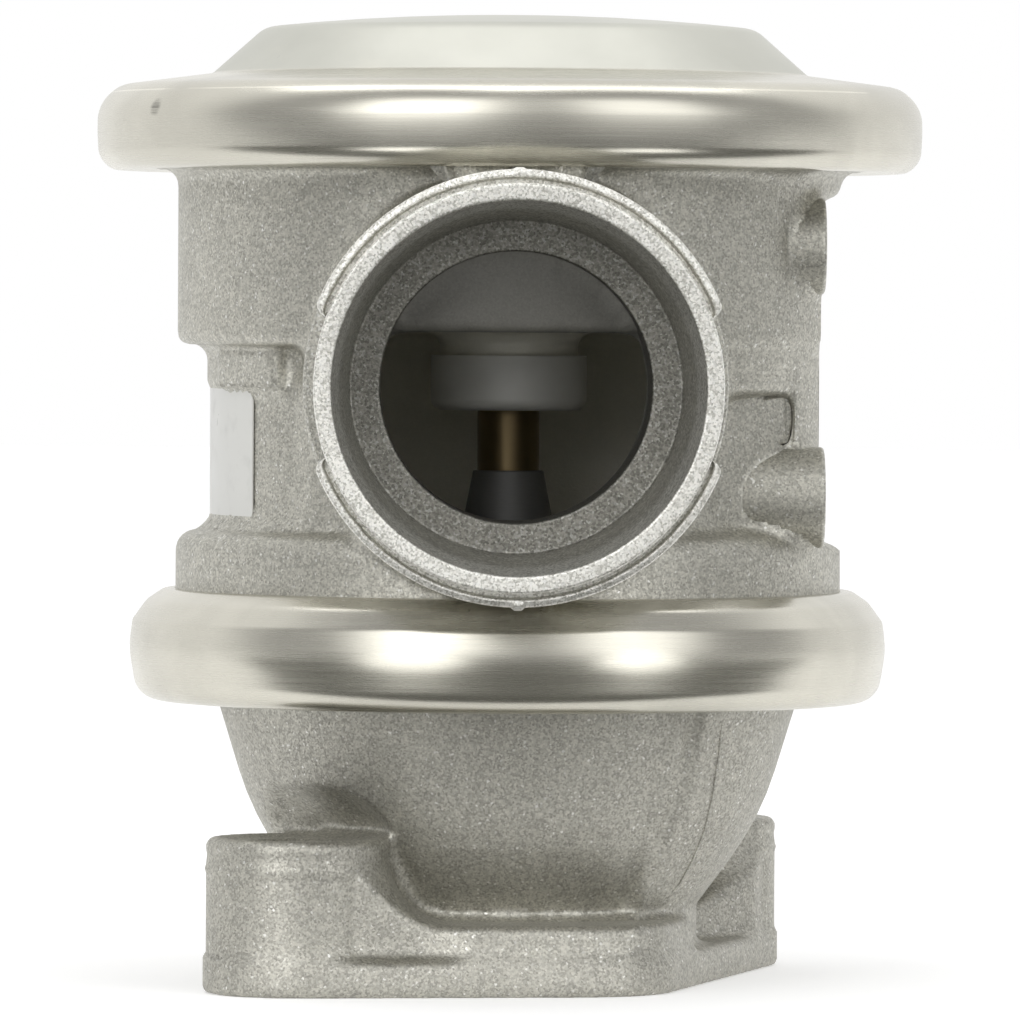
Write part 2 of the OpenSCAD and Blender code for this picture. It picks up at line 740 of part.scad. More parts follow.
// Die-cast lower body
module lower_body() {
    $fn = 64;
    color("silver") difference() {
        union() {
            difference() {
                union() {
                    spun(rounded(bowl_profile(0)));
                    bowl_ribs();
                }
                for (p = bolt_places) lug_scoop(p);
            }
            mounting_flange();
            spun(rounded([
                [0, lower_flange_z - 0.5, 0],
                [bowl_r, lower_flange_z - 0.5, 0],
                [bowl_r + 0.6, lower_flange_z, 0],
                [joint_r, lower_flange_z, 1],
                [joint_r, parting_z, 0.4],
                [0, parting_z, 0]]));
        }
        // outlet, hollow and seat of the check plate
        spun(rounded([
            [0, -over, 0],
            [outlet_r, -over, 0],
            [outlet_r, outlet_l, 0],
            [well_r, outlet_l + 3.5, 1],
            [well_r, disc_z - 4.4, 1],
            [disc_bay_r, disc_z - 2.6, 0.8],
            [disc_bay_r, check_low_z, 0],
            [check_plate_r + still_gap, check_low_z, 0],
            [check_plate_r + still_gap, parting_z + over, 0],
            [0, parting_z + over, 0]]));
        // groove for the O-ring
        ring(ring_seal_r + ring_seal_d / 2 + still_gap, ring_seal_r - ring_seal_d / 2 - still_gap,
            parting_z - ring_seal_d - 2 * still_gap, parting_z + over);
        for (p = bolt_places) {
            translate([p[0], p[1], -over]) cylinder(r = bolt_r, h = lug_h + 2 * over);
            translate([p[0], p[1], lug_h - spot_depth]) cylinder(r = spot_r, h = over);
        }
    }
}

// Spigot for the vacuum hose
module vacuum_nipple() {
    color("darkkhaki") on_nipple_axis() spun([
        [nipple_bore_r, chamber_r + 0.2],
        [nipple_r, chamber_r + 0.2],
        [nipple_r, nipple_reach - 5],
        [barb_r, nipple_reach - 4],
        [barb_r, nipple_reach - 2.6],
        [nipple_r - 0.4, nipple_reach],
        [nipple_bore_r, nipple_reach]]);
}

// O-ring in the joint
module joint_gasket() {
    color("dimgray") translate([0, 0, parting_z - ring_seal_d / 2 - still_gap])
        rotate_extrude() translate([ring_seal_r, 0]) circle(d = ring_seal_d, $fn = 32);
}

// Rolling diaphragm, clamped under the cover's rim
module diaphragm() {
    inner = skirt_r + rubber_gap;
    outer = chamber_r - rubber_gap;
    loop_z = middle_z - loop_depth;
    loop_r = (outer - inner) / 2;
    color("dimgray") spun(sheet([
        [thread_r + still_gap, middle_z, 0],
        [inner, middle_z, 1.2],
        [inner, loop_z, loop_r],
        [outer, loop_z, loop_r],
        [outer, clamp_z + 0.01, 1],
        [clamp_r - 1.9, clamp_z + 0.01, 0]], rubber_t - 0.02));
}

// Plate over the diaphragm
module diaphragm_plate_upper() {
    color("lightgray") spun(sheet([
        [thread_r + still_gap, plate_high_z, 0],
        [upper_plate_r - 0.8, plate_high_z, 1],
        [upper_plate_r, plate_high_z + 0.8, 0]], plate_t));
}

// Cup under the diaphragm, over the return spring
module diaphragm_plate_lower() {
    color("lightgray") spun(sheet([
        [thread_r + still_gap, plate_low_z, 0],
        [skirt_r - plate_t, plate_low_z, 0.6],
        [skirt_r - plate_t, middle_z - skirt_h, 0]], plate_t - 0.02));
}

// Stem with a thread at each end
module stem() {
    color("darkgoldenrod") spun([
        [0, stem_low_z],
        [thread_r, stem_low_z],
        [thread_r, poppet_z + poppet_flange_t],
        [stem_r, poppet_z + poppet_flange_t],
        [stem_r, plate_low_z],
        [thread_r, plate_low_z],
        [thread_r, stem_top_z - 0.4],
        [thread_r - 0.4, stem_top_z],
        [0, stem_top_z]]);
}

// Nut on top of the plates
module stem_nut() {
    color("silver") nut(nut_af, thread_r + still_gap, nut_z, nut_t);
}

// Spring that lifts the diaphragm and closes the poppet
module return_spring() {
    color("slategray") coil_spring(coil_r, wire_d, coil_turns, deck_z + seat_washer_t + 2 * still_gap,
        plate_low_z - deck_z - seat_washer_t - 4 * still_gap, 24, 8);
}

// Dished washer under the return spring
module spring_seat() {
    rim = coil_r + wire_d / 2 + washer_gap + seat_washer_t;
    color("lightgray") spun(sheet([
        [guide_r + still_gap, deck_z + still_gap, 0],
        [rim, deck_z + still_gap, 1.2],
        [rim, deck_z + washer_h, 0]], seat_washer_t));
}

// Bush that guides the stem
module guide_bush() {
    color("peru") ring(bush_r, stem_r + slide_gap, guide_low_z, boss_top_z);
}

// Rubber seal round the stem
module stem_seal() {
    color("dimgray") spun([
        [stem_r + slide_gap, guide_low_z - stem_seal_h + 0.9],
        [stem_r + slide_gap + 0.6, guide_low_z - stem_seal_h],
        [guide_r - 0.2, guide_low_z - stem_seal_h],
        [guide_r - 0.2, guide_low_z - still_gap],
        [stem_r + slide_gap + 1, guide_low_z - still_gap]]);
}

// Cup that holds the seal, pressed over the guide boss
module seal_retainer() {
    low_z = guide_low_z + 1.4 - retainer_h;
    color("gray") spun(sheet([
        [stem_r + 0.8, low_z, 0],
        [guide_r + still_gap + retainer_wall, low_z, 1],
        [guide_r + still_gap + retainer_wall, low_z + retainer_h, 0]], retainer_wall));
}

// Hub and flange above the poppet's rubber
module poppet() {
    color("gray") difference() {
        spun(rounded([
            [thread_r + still_gap, poppet_z, 0],
            [poppet_r, poppet_z, 0],
            [poppet_r, poppet_z + poppet_flange_t, 0.5],
            [stem_r + 1.6, poppet_z + poppet_flange_t, 0.8],
            [stem_r + 0.35, poppet_z + hub_h, 0.2],
            [thread_r + still_gap, poppet_z + hub_h, 0]]));
        translate([0, 0, poppet_z + poppet_flange_t]) cylinder(r = stem_r + still_gap, h = hub_h);
    }
}

// Rubber face that closes on the seat
module poppet_seal() {
    color("dimgray") ring(seal_r, thread_r + still_gap, poppet_z - seal_t, poppet_z);
}

// Plate and washer behind the rubber
module poppet_plate() {
    color("lightgray") spun(rounded([
        [thread_r + still_gap, backing_z - 0.8, 0],
        [5, backing_z - 0.8, 0.3],
        [5, backing_z, 0],
        [seal_r - 0.6, backing_z, 0.4],
        [seal_r - 0.6, backing_z + backing_t, 0],
        [thread_r + still_gap, backing_z + backing_t, 0]]));
}

// Nut under the poppet
module poppet_nut() {
    color("silver") nut(nut_af, thread_r + still_gap, poppet_nut_z, nut_t);
}

// Plate with windows that the check disc closes
module check_plate() {
    color("lightgray") difference() {
        ring(check_plate_r, pin_r + still_gap, check_low_z, check_z);
        difference() {
            ring(window_out_r, window_in_r, check_low_z - over, check_z + over);
            for (i = [0:windows - 1])
                rotate([0, 0, 360 * (i + 0.5) / windows])
                    translate([0, -spoke_w / 2, check_low_z - 2 * over])
                        cube([window_out_r + over, spoke_w, check_plate_t + 4 * over]);
        }
    }
}

// Disc that closes the windows from below
module check_disc() {
    color("silver") ring(disc_r, pin_r + slide_gap, disc_z - disc_t, disc_z);
}

// Light spring under the disc
module check_spring() {
    color("slategray") coil_spring(light_coil_r, light_wire_d, light_turns, cup_z + still_gap,
        light_coil_l - 2 * still_gap, 20, 8);
}

// Dished plate that holds the light spring
module check_retainer() {
    color("lightgray") difference() {
        spun(sheet([
            [pin_r + still_gap, cup_z - cup_t, 0],
            [cup_r - 1, cup_z - cup_t, 0.6],
            [cup_r, cup_z + 0.6, 0]], cup_t));
        for (i = [0:windows - 1])
            rotate([0, 0, 360 * i / windows]) translate([cup_r - 2, 0, cup_z - 2 * over])
                cylinder(r = 1, h = 4 * over, $fn = 32);
    }
}

// Rivet through plate, disc, spring and retainer
module check_pin() {
    color("silver") spun([
        [0, pin_low_z],
        [pin_r + 1, pin_low_z],
        [pin_r + 1, cup_z - cup_t],
        [pin_r, cup_z - cup_t],
        [pin_r, check_z],
        [pin_r + 1.6, check_z],
        [pin_r + 1, check_z + pin_head_t],
        [0, check_z + pin_head_t]]);
}

cover();
housing();
crimp_ring();
lower_body();
vacuum_nipple();
joint_gasket();
diaphragm();
diaphragm_plate_upper();
diaphragm_plate_lower();
stem();
stem_nut();
return_spring();
spring_seat();
guide_bush();
stem_seal();
seal_retainer();
poppet();
poppet_seal();
poppet_plate();
poppet_nut();
check_plate();
check_disc();
check_spring();
check_retainer();
check_pin();
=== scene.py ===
"""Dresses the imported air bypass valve: rolled steel covers, cast housings, fittings and a studio stage.

Sizes are in millimetres inside the shape functions and in metres on Blender's side.
Z runs up the valve's axis and the hose port points to -Y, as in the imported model.
"""

import functools
import math

import bmesh
import bpy
import numpy as np
from bpy.props import FloatProperty, FloatVectorProperty, IntProperty, PointerProperty
from mathutils import Matrix, Vector
from mathutils.bvhtree import BVHTree


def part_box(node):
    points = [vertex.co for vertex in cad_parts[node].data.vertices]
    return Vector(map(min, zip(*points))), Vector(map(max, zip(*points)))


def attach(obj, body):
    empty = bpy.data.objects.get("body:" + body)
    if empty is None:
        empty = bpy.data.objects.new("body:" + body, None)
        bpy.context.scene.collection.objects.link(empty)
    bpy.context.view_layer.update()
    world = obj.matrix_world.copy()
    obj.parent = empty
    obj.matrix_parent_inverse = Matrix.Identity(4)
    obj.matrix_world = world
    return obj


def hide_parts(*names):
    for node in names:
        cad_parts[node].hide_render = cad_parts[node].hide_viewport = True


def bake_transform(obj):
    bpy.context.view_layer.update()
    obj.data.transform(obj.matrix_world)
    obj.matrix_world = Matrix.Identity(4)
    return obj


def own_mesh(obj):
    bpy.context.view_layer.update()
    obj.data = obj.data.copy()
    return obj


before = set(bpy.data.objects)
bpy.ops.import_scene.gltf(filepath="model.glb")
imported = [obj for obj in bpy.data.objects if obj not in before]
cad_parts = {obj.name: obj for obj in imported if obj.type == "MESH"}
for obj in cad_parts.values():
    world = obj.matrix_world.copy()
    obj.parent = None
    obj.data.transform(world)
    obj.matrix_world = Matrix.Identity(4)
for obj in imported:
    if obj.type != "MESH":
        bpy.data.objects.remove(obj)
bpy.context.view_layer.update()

bl_info = {
    "name": "Air Bypass Valve",
    "version": (1, 0, 0),
    "blender": (4, 5, 0),
    "location": "3D View > Sidebar > Valve",
    "description": "Finishes an air bypass valve with rolled steel covers, cast housings and fittings",
    "category": "Object",
}

MM = 0.001
FULL_TURN = 2 * math.pi
FIXED = "valve_body"
MOVING = "actuator"

UP = (0, 0, 1)

# Places that several pieces share, in mm. A boss has a name, a radius, a height and the radius of the
# housing's wall that it is rooted in.
PORT_HEIGHT = 50.0
NIPPLE_HEIGHT = 62.4
BOSS_AHEAD = 12.0
BOSSES = (("side_boss_upper", 3.99, 61.6, 26), ("side_boss_lower", 4.19, 40.8, 23))


def top(node):
    """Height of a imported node's highest point, in mm."""
    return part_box(node)[1].z / MM


def foot(node):
    """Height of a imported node's lowest point, in mm."""
    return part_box(node)[0].z / MM


def wide(node):
    """Outer radius of a packed round node, in mm."""
    low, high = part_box(node)
    return (high.x - low.x) / 2 / MM


# ---------------------------------------------------------------- settings


def length_setting(name, description, value):
    """A length in metres."""
    return FloatProperty(name=name, description=description, default=value, unit="LENGTH")


def angle_setting(name, description, degrees):
    """An angle, given in degrees and kept in radians."""
    return FloatProperty(name=name, description=description, default=math.radians(degrees), subtype="ANGLE")


def number_setting(name, description, value, least=0):
    """A plain number with a lower limit."""
    return FloatProperty(name=name, description=description, default=value, min=least)


def colour_setting(name, description, *value):
    """A linear colour."""
    return FloatVectorProperty(name=name, description=description, default=value, size=3, subtype="COLOR")


class ValveForm(bpy.types.PropertyGroup):
    """Sizes that the dressed pieces use."""

    spin_steps: IntProperty(
        name="Steps per turn", description="Points round each turned piece", default=256, min=48, max=512)
    corner_step: angle_setting("Corner step", "Largest angle between two points of a rounded corner", 5)
    housing_skin: length_setting("Housing skin", "Mesh size of the cast housing", 0.00052)
    body_skin: length_setting("Body skin", "Mesh size of the cast lower body", 0.0004)
    cover_radius: length_setting("Cover radius", "Outer radius of the cover's rolled rim", wide("cover") * MM)
    cover_sheet: length_setting("Cover sheet", "Sheet thickness of the cover", 0.0012)
    ring_radius: length_setting("Ring radius", "Outer radius of the crimp ring", wide("crimp_ring") * MM)
    ring_sheet: length_setting("Ring sheet", "Sheet thickness of the crimp ring", 0.00125)
    bead_gap: angle_setting("Bead gap", "Half the angle of the gap in the port's bead at each side", 20)
    label_width: length_setting("Label width", "Length of the bare label round the waist", 0.0255)
    label_height: length_setting("Label height", "Height of the bare label", 0.0113)
    spring_radius: length_setting("Return spring radius", "Radius at the middle of the wire", 0.016)
    spring_wire: length_setting("Return spring wire", "Wire thickness of the return spring", 0.0018)
    spring_turns: number_setting("Return spring turns", "Turns of the return spring", 6, 3)
    light_radius: length_setting("Check spring radius", "Radius at the middle of the wire", 0.004)
    light_wire: length_setting("Check spring wire", "Wire thickness of the check spring", 0.00065)
    light_turns: number_setting("Check spring turns", "Turns of the check spring", 3.5, 2.5)


class ValveFinish(bpy.types.PropertyGroup):
    """Colours and grain of the finishes."""

    cast: colour_setting("Cast aluminium", "Colour of the housing's casting", 0.50, 0.49, 0.44)
    cast_body: colour_setting("Lower casting", "Colour of the lower body's casting", 0.45, 0.44, 0.395)
    rim_steel: colour_setting("Rolled rim", "Colour of the burnished steel rims", 0.64, 0.62, 0.545)
    dome_steel: colour_setting("Dome", "Colour of the satin dome", 0.60, 0.60, 0.545)
    plated: colour_setting("Plated steel", "Colour of the plated plates and nuts", 0.62, 0.62, 0.60)
    brass: colour_setting("Brass", "Colour of the stem and the nipple", 0.66, 0.50, 0.27)
    bronze: colour_setting("Bronze", "Colour of the guide bush", 0.46, 0.29, 0.15)
    spring: colour_setting("Spring steel", "Colour of the springs", 0.36, 0.36, 0.37)
    turned: colour_setting("Turned aluminium", "Colour of the poppet", 0.58, 0.58, 0.57)
    rubber: colour_setting("Rubber", "Colour of the diaphragm and the seals", 0.022, 0.022, 0.024)
    label: colour_setting("Label", "Colour of the bare label", 0.66, 0.66, 0.63)
    grain: length_setting("Casting grain", "Size of the casting's grain", 0.00014)


class ValveStage(bpy.types.PropertyGroup):
    """Camera, lamps and floor."""

    azimuth: angle_setting("Azimuth", "Camera's turn round the valve", -1.1)
    elevation: angle_setting("Elevation", "Camera's angle above the horizon", 1.2)
    roll: angle_setting("Roll", "Camera's roll", 0.3)
    distance: length_setting("Distance", "Camera's distance from the valve's axis", 0.85)
    aim: FloatVectorProperty(
        name="Aim", description="Point in the middle of the picture", subtype="XYZ", unit="LENGTH",
        size=3, default=(0.00017, 0.0, 0.0394))
    lens: number_setting("Lens", "Focal length in millimetres", 357, 10)
    floor_colour: colour_setting("Floor", "Colour of the floor", 0.82, 0.82, 0.82)
    strip_power: number_setting("Strip lamps", "Radiance of the two strips overhead", 2.3)
    key_power: number_setting("Soft boxes", "Radiance of the two soft boxes in front", 1.7)
    card_power: number_setting("Low cards", "Radiance of the two low cards in front", 2.1)


def form():
    """The settings of the shapes."""
    return bpy.context.scene.valve_form


def finish():
    """The settings of the finishes."""
    return bpy.context.scene.valve_finish


def stage():
    """The settings of the stage."""
    return bpy.context.scene.valve_stage


# ---------------------------------------------------------------- sections


def arc(centre, radius, start, sweep, step):
    """Points of an arc round a centre."""
    count = max(2, math.ceil(abs(sweep) / step))
    return [(centre[0] + radius * math.cos(start + sweep * i / count),
             centre[1] + radius * math.sin(start + sweep * i / count)) for i in range(count + 1)]


def corner(a, b, c, radius, step):
    """Points that round the corner b, between a and c."""
    b = np.array(b[:2], float)
    u = np.array(a[:2], float) - b
    v = np.array(c[:2], float) - b
    reach = min(np.linalg.norm(u), np.linalg.norm(v)) * 0.499
    u /= np.linalg.norm(u)
    v /= np.linalg.norm(v)
    half = math.acos(max(-1.0, min(1.0, float(u @ v)))) / 2
    radius = min(radius, math.tan(half) * reach)
    if radius < 0.01 or half > math.radians(89.5):
        return [tuple(b)]
    centre = b + (u + v) / np.linalg.norm(u + v) * radius / math.sin(half)
    start = b + u * radius / math.tan(half) - centre
    end = b + v * radius / math.tan(half) - centre
    first = math.atan2(start[1], start[0])
    sweep = (math.atan2(end[1], end[0]) - first + 3 * math.pi) % FULL_TURN - math.pi
    return arc(centre, radius, first, sweep, step)


def rounded(points):
    """A closed outline from corners (x, y, radius)."""
    step = form().corner_step
    found = []
    for i, point in enumerate(points):
        found += corner(points[i - 1], point, points[(i + 1) % len(points)], point[2], step)
    return found


def open_path(points):
    """An open path from corners (x, y, radius), with its ends kept."""
    step = form().corner_step
    found = [tuple(points[0][:2])]
    for i in range(1, len(points) - 1):
        found += corner(points[i - 1], points[i], points[i + 1], points[i][2], step)
    return found + [tuple(points[-1][:2])]


def shifted(points, thick):
    """The same path, moved to its left, with its radii corrected."""
    spots = np.array([p[:2] for p in points], float)
    steps = np.diff(spots, axis=0)
    steps /= np.linalg.norm(steps, axis=1)[:, None]
    left = np.stack([-steps[:, 1], steps[:, 0]], axis=1)
    moved = []
    for i, point in enumerate(points):
        before, after = left[max(0, i - 1)], left[min(len(left) - 1, i)]
        spot = spots[i] + thick * (before + after) / (1 + before @ after)
        turn = before[0] * after[1] - before[1] * after[0]
        moved.append((spot[0], spot[1], max(0.0, point[2] - thick) if turn > 0 else point[2] + thick))
    return moved


def sheet(points, thick):
    """The section of a bent sheet whose right-hand face follows the path."""
    return open_path(points) + open_path(shifted(points, thick))[::-1]


def crowned(section, rim, low, high, bow, most):
    """The section with its outer wall bowed like a barrel, as rolling leaves it."""
    middle, half = (low + high) / 2, (high - low) / 2
    return [(x - min(most, bow * ((z - middle) / half) ** 2) * max(0.0, min(1.0, (x - rim + 3) / 3)), z)
            for x, z in section]


def close_steps(section, longest):
    """The closed section with its long straight steps divided."""
    found = []
    for (x0, y0), (x1, y1) in zip(section, section[1:] + section[:1]):
        count = max(1, math.ceil(math.hypot(x1 - x0, y1 - y0) / longest))
        found += [(x0 + (x1 - x0) * i / count, y0 + (y1 - y0) * i / count) for i in range(count)]
    return found


# ---------------------------------------------------------------- node wiring


class Value:
    """A socket of a node tree; plain arithmetic on it adds Math nodes."""

    def __init__(self, socket):
        self.socket = socket

    def do(self, operation, *others, before=()):
        """The result of a Math node that has this value among its inputs."""
        values = enumerate((*before, self, *others))
        return Value(add(self.socket.id_data, "ShaderNodeMath", values, operation=operation).outputs[0])

    def ramp(self, low, high, at_low=0.0, at_high=1.0):
        """Turns smoothly from at_low to at_high between low and high."""
        values = enumerate((self, low, high, at_low, at_high))
        node = add(self.socket.id_data, "ShaderNodeMapRange", values, interpolation_type="SMOOTHSTEP")
        return Value(node.outputs[0])

    def __add__(self, other):
        return self.do("ADD", other)

    def __sub__(self, other):
        return self.do("SUBTRACT", other)

    def __rsub__(self, other):
        return self.do("SUBTRACT", before=(other,))

    def __mul__(self, other):
        return self.do("MULTIPLY", other)

    def __truediv__(self, other):
        return self.do("DIVIDE", other)

    def __rtruediv__(self, other):
        return self.do("DIVIDE", before=(other,))

    __radd__ = __add__
    __rmul__ = __mul__


def wire(node, inputs):
    """Joins a node's inputs, by name or number, to values, or sets them."""
    for key, value in dict(inputs).items():
        if isinstance(value, Value):
            value = value.socket
        elif isinstance(value, bpy.types.Node):
            value = value.outputs[0]
        if isinstance(value, bpy.types.NodeSocket):
            node.id_data.links.new(value, node.inputs[key])
        else:
            node.inputs[key].default_value = value


def add(tree, kind, inputs=(), **settings):
    """Adds a node, with its settings and its inputs by name or number."""
    node = tree.nodes.new(kind)
    for key, value in settings.items():
        setattr(node, key, value)
    wire(node, inputs)
    return node


def parts(tree, vector):
    """The three numbers of a vector."""
    return [Value(socket) for socket in add(tree, "ShaderNodeSeparateXYZ", {0: vector}).outputs]


def hypot(a, b):
    """The length of the vector (a, b)."""
    return (a * a + b * b).do("SQRT")


def noise(tree, where, scale, **inputs):
    """The value of a noise texture."""
    node = add(tree, "ShaderNodeTexNoise", {"Vector": where, "Scale": scale, **inputs})
    return Value(node.outputs["Fac"])


def new_tree(name, kind, inputs, outputs):
    """A node group, its inputs by name and the node that takes its results."""
    tree = bpy.data.node_groups.new(name, kind)
    for label, socket, value in inputs:
        made = tree.interface.new_socket(name=label, in_out="INPUT", socket_type=socket)
        if value is not None:
            made.default_value = value
    for label, socket in outputs:
        tree.interface.new_socket(name=label, in_out="OUTPUT", socket_type=socket)
    given = {socket.name: Value(socket) for socket in tree.nodes.new("NodeGroupInput").outputs if socket.name}
    return tree, given, tree.nodes.new("NodeGroupOutput")


def once(store):
    """Lets a maker of named data give what it made before under the same name."""
    def wrap(make):
        @functools.wraps(make)
        def get(name, *values):
            return getattr(bpy.data, store).get(name) or make(name, *values)
        return get
    return wrap


# ---------------------------------------------------------------- geometry nodes


def close_tree(tree, given, shown, shape):
    """Ends a shape tree in smooth shading, real geometry and its finish."""
    smooth = add(tree, "GeometryNodeSetShadeSmooth", {"Geometry": shape})
    real = add(tree, "GeometryNodeRealizeInstances", {"Geometry": smooth})
    done = add(tree, "GeometryNodeSetMaterial", {"Geometry": real, "Material": given["Finish"]})
    wire(shown, {0: done})
    return tree


def round_axis(tree, shape, radius, angle, height):
    """Moves the points of a shape to a radius and an angle round Z, and to a height."""
    place = add(tree, "ShaderNodeCombineXYZ",
                {0: radius * angle.do("COSINE"), 1: radius * angle.do("SINE"), 2: height})
    return add(tree, "GeometryNodeSetPosition", {"Geometry": shape, "Position": place})


@once("node_groups")
def spun_tree(name):
    """Turns a closed section in the XZ plane round Z."""
    tree, given, shown = new_tree(
        name, "GeometryNodeTree",
        [("Section", "NodeSocketGeometry", None), ("Steps", "NodeSocketInt", 256),
         ("Finish", "NodeSocketMaterial", None)],
        [("Geometry", "NodeSocketGeometry")])
    section, steps = given["Section"], given["Steps"]
    size = add(tree, "GeometryNodeAttributeDomainSize", {0: section}, component="MESH")
    count, columns = Value(size.outputs["Point Count"]), steps + 1
    grid = add(tree, "GeometryNodeMeshGrid", {"Vertices X": count + 1, "Vertices Y": columns})
    index = Value(add(tree, "GeometryNodeInputIndex").outputs[0])
    row = ((index + 0.5) / columns).do("FLOOR")
    column = index - row * columns
    source = (row + 0.25).do("FLOORED_MODULO", count).do("FLOOR")
    sample = add(tree, "GeometryNodeSampleIndex",
                 {"Geometry": section, "Value": add(tree, "GeometryNodeInputPosition"), "Index": source},
                 data_type="FLOAT_VECTOR", domain="POINT")
    radius, _, height = parts(tree, sample)
    moved = round_axis(tree, grid, radius, column * FULL_TURN / steps, height)
    merged = add(tree, "GeometryNodeMergeByDistance", {"Geometry": moved, "Distance": 2e-6})
    return close_tree(tree, given, shown, merged)


@once("node_groups")
def coil_tree(name):
    """Winds round wire into a coil spring whose end turns lie closed."""
    tree, given, shown = new_tree(
        name, "GeometryNodeTree",
        [("Radius", "NodeSocketFloat", 0.016), ("Wire", "NodeSocketFloat", 0.0018),
         ("Turns", "NodeSocketFloat", 6.0), ("Length", "NodeSocketFloat", 0.015),
         ("Foot", "NodeSocketFloat", 0.0), ("Steps", "NodeSocketInt", 64),
         ("Finish", "NodeSocketMaterial", None)],
        [("Geometry", "NodeSocketGeometry")])
    thick, turns, steps = given["Wire"], given["Turns"], given["Steps"]
    line = add(tree, "GeometryNodeMeshLine", {"Count": turns * steps + 1})
    wound = Value(add(tree, "GeometryNodeInputIndex").outputs[0]) / steps
    shut, free, after = thick * 1.05, turns - 2, wound - 1
    run = given["Length"] - thick - shut * 2
    first = shut * wound.do("MINIMUM", 1)
    middle = after.do("MAXIMUM", 0).do("MINIMUM", free)
    last = (after - free).do("MAXIMUM", 0)
    rise = first + (run * middle / free + shut * last)
    moved = round_axis(tree, line, given["Radius"], wound * FULL_TURN, given["Foot"] + thick / 2 + rise)
    path = add(tree, "GeometryNodeMeshToCurve", {0: moved})
    circle = add(tree, "GeometryNodeCurvePrimitiveCircle", {"Resolution": 16, "Radius": thick / 2})
    swept = add(tree, "GeometryNodeCurveToMesh", {"Curve": path, "Profile Curve": circle, "Fill Caps": True})
    return close_tree(tree, given, shown, swept)


@once("node_groups")
def bead_tree(name):
    """Lays a fine round bead along a path, thinner towards both ends."""
    tree, given, shown = new_tree(
        name, "GeometryNodeTree",
        [("Path", "NodeSocketGeometry", None), ("Radius", "NodeSocketFloat", 0.0001),
         ("Count", "NodeSocketInt", 96), ("Finish", "NodeSocketMaterial", None)],
        [("Geometry", "NodeSocketGeometry")])
    path = add(tree, "GeometryNodeMeshToCurve", {0: given["Path"]})
    even = add(tree, "GeometryNodeResampleCurve", {"Curve": path, "Count": given["Count"]})
    along = Value(add(tree, "GeometryNodeSplineParameter").outputs["Factor"])
    thick = given["Radius"] * along.do("MINIMUM", 1 - along).ramp(0.0, 0.12, 0.1, 1.0)
    sized = add(tree, "GeometryNodeSetCurveRadius", {"Curve": even, "Radius": thick})
    circle = add(tree, "GeometryNodeCurvePrimitiveCircle", {"Resolution": 10, "Radius": 1.0})
    swept = add(tree, "GeometryNodeCurveToMesh", {
        "Curve": sized, "Profile Curve": circle, "Scale": add(tree, "GeometryNodeInputRadius"),
        "Fill Caps": True})
    return close_tree(tree, given, shown, swept)


# ---------------------------------------------------------------- meshes


def linked(name, data):
    """An object in the scene that holds the data."""
    obj = bpy.data.objects.new(name, data)
    bpy.context.scene.collection.objects.link(obj)
    return obj


def settled(obj, modifier):
    """Turns an object's only modifier into plain mesh."""
    mesh = bpy.data.meshes.new_from_object(obj.evaluated_get(bpy.context.evaluated_depsgraph_get()))
    obj.modifiers.remove(modifier)
    obj.data = mesh
    mesh.name = obj.name
    return mesh


def grow(name, tree, values, base=None):
    """Runs a shape tree on a base mesh and keeps the result as a plain mesh."""
    obj = linked(name, base or bpy.data.meshes.new(name))
    shape = obj.modifiers.new("Shape", "NODES")
    shape.node_group = tree
    sockets = {s.name: s.identifier for s in tree.interface.items_tree if s.in_out == "INPUT"}
    for key, value in values.items():
        shape[sockets[key]] = value
    settled(obj, shape)
    return obj


def tidy(mesh, sharp=40):
    """Merges doubles, turns the faces outwards and marks the sharp edges."""
    bm = bmesh.new()
    bm.from_mesh(mesh)
    bmesh.ops.remove_doubles(bm, verts=bm.verts, dist=1e-6)
    bmesh.ops.dissolve_degenerate(bm, edges=bm.edges, dist=1e-7)
    bmesh.ops.recalc_face_normals(bm, faces=bm.faces)
    bm.to_mesh(mesh)
    bm.free()
    for face in mesh.polygons:
        face.use_smooth = True
    mesh.set_sharp_from_angle(angle=math.radians(sharp))


def spaced(section):
    """The closed section without the points that lie on the next one."""
    return [p for p, q in zip(section, section[1:] + section[:1]) if math.dist(p, q) > 0.004]


def section_mesh(name, section):
    """A ring of edges in the XZ plane from a closed section in mm."""
    mesh = bpy.data.meshes.new(name)
    count = len(section)
    mesh.from_pydata([(max(0.0, x) * MM, 0, z * MM) for x, z in section],
                     [(i, (i + 1) % count) for i in range(count)], [])
    return mesh


def spun(name, section, material, steps=None, sharp=40):
    """A turned piece from its closed section in mm."""
    obj = grow(name, spun_tree("Spun section"), {"Steps": steps or form().spin_steps, "Finish": material},
               section_mesh(name, spaced(section)))
    tidy(obj.data, sharp)
    return obj


def moved_to(obj, turn, shift):
    """Turns and shifts the mesh of a piece, whose object stays at the origin."""
    matrix = Matrix(turn).to_4x4()
    matrix.translation = shift
    obj.data.transform(matrix)
    obj.data.update()
    return obj


def mesh_object(name, points, faces, material, sharp=40):
    """An object from points in mm and faces."""
    mesh = bpy.data.meshes.new(name)
    mesh.from_pydata([tuple(p * MM for p in point) for point in points], [], faces)
    obj = linked(name, mesh)
    tidy(mesh, sharp)
    mesh.materials.append(material)
    return obj


def copied(name, node, material, sharp=35):
    """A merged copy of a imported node, smooth over its facets."""
    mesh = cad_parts[node].data.copy()
    mesh.name = name
    if mesh.has_custom_normals:
        mesh.attributes.remove(mesh.attributes["custom_normal"])
    mesh.materials.clear()
    mesh.materials.append(material)
    obj = linked(name, mesh)
    tidy(mesh, sharp)
    return obj


def place(obj, body, slot, *nodes):
    """Lets a finished piece ride on its body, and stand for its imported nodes."""
    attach(obj, body)
    if nodes:
        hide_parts(*nodes)
    return obj


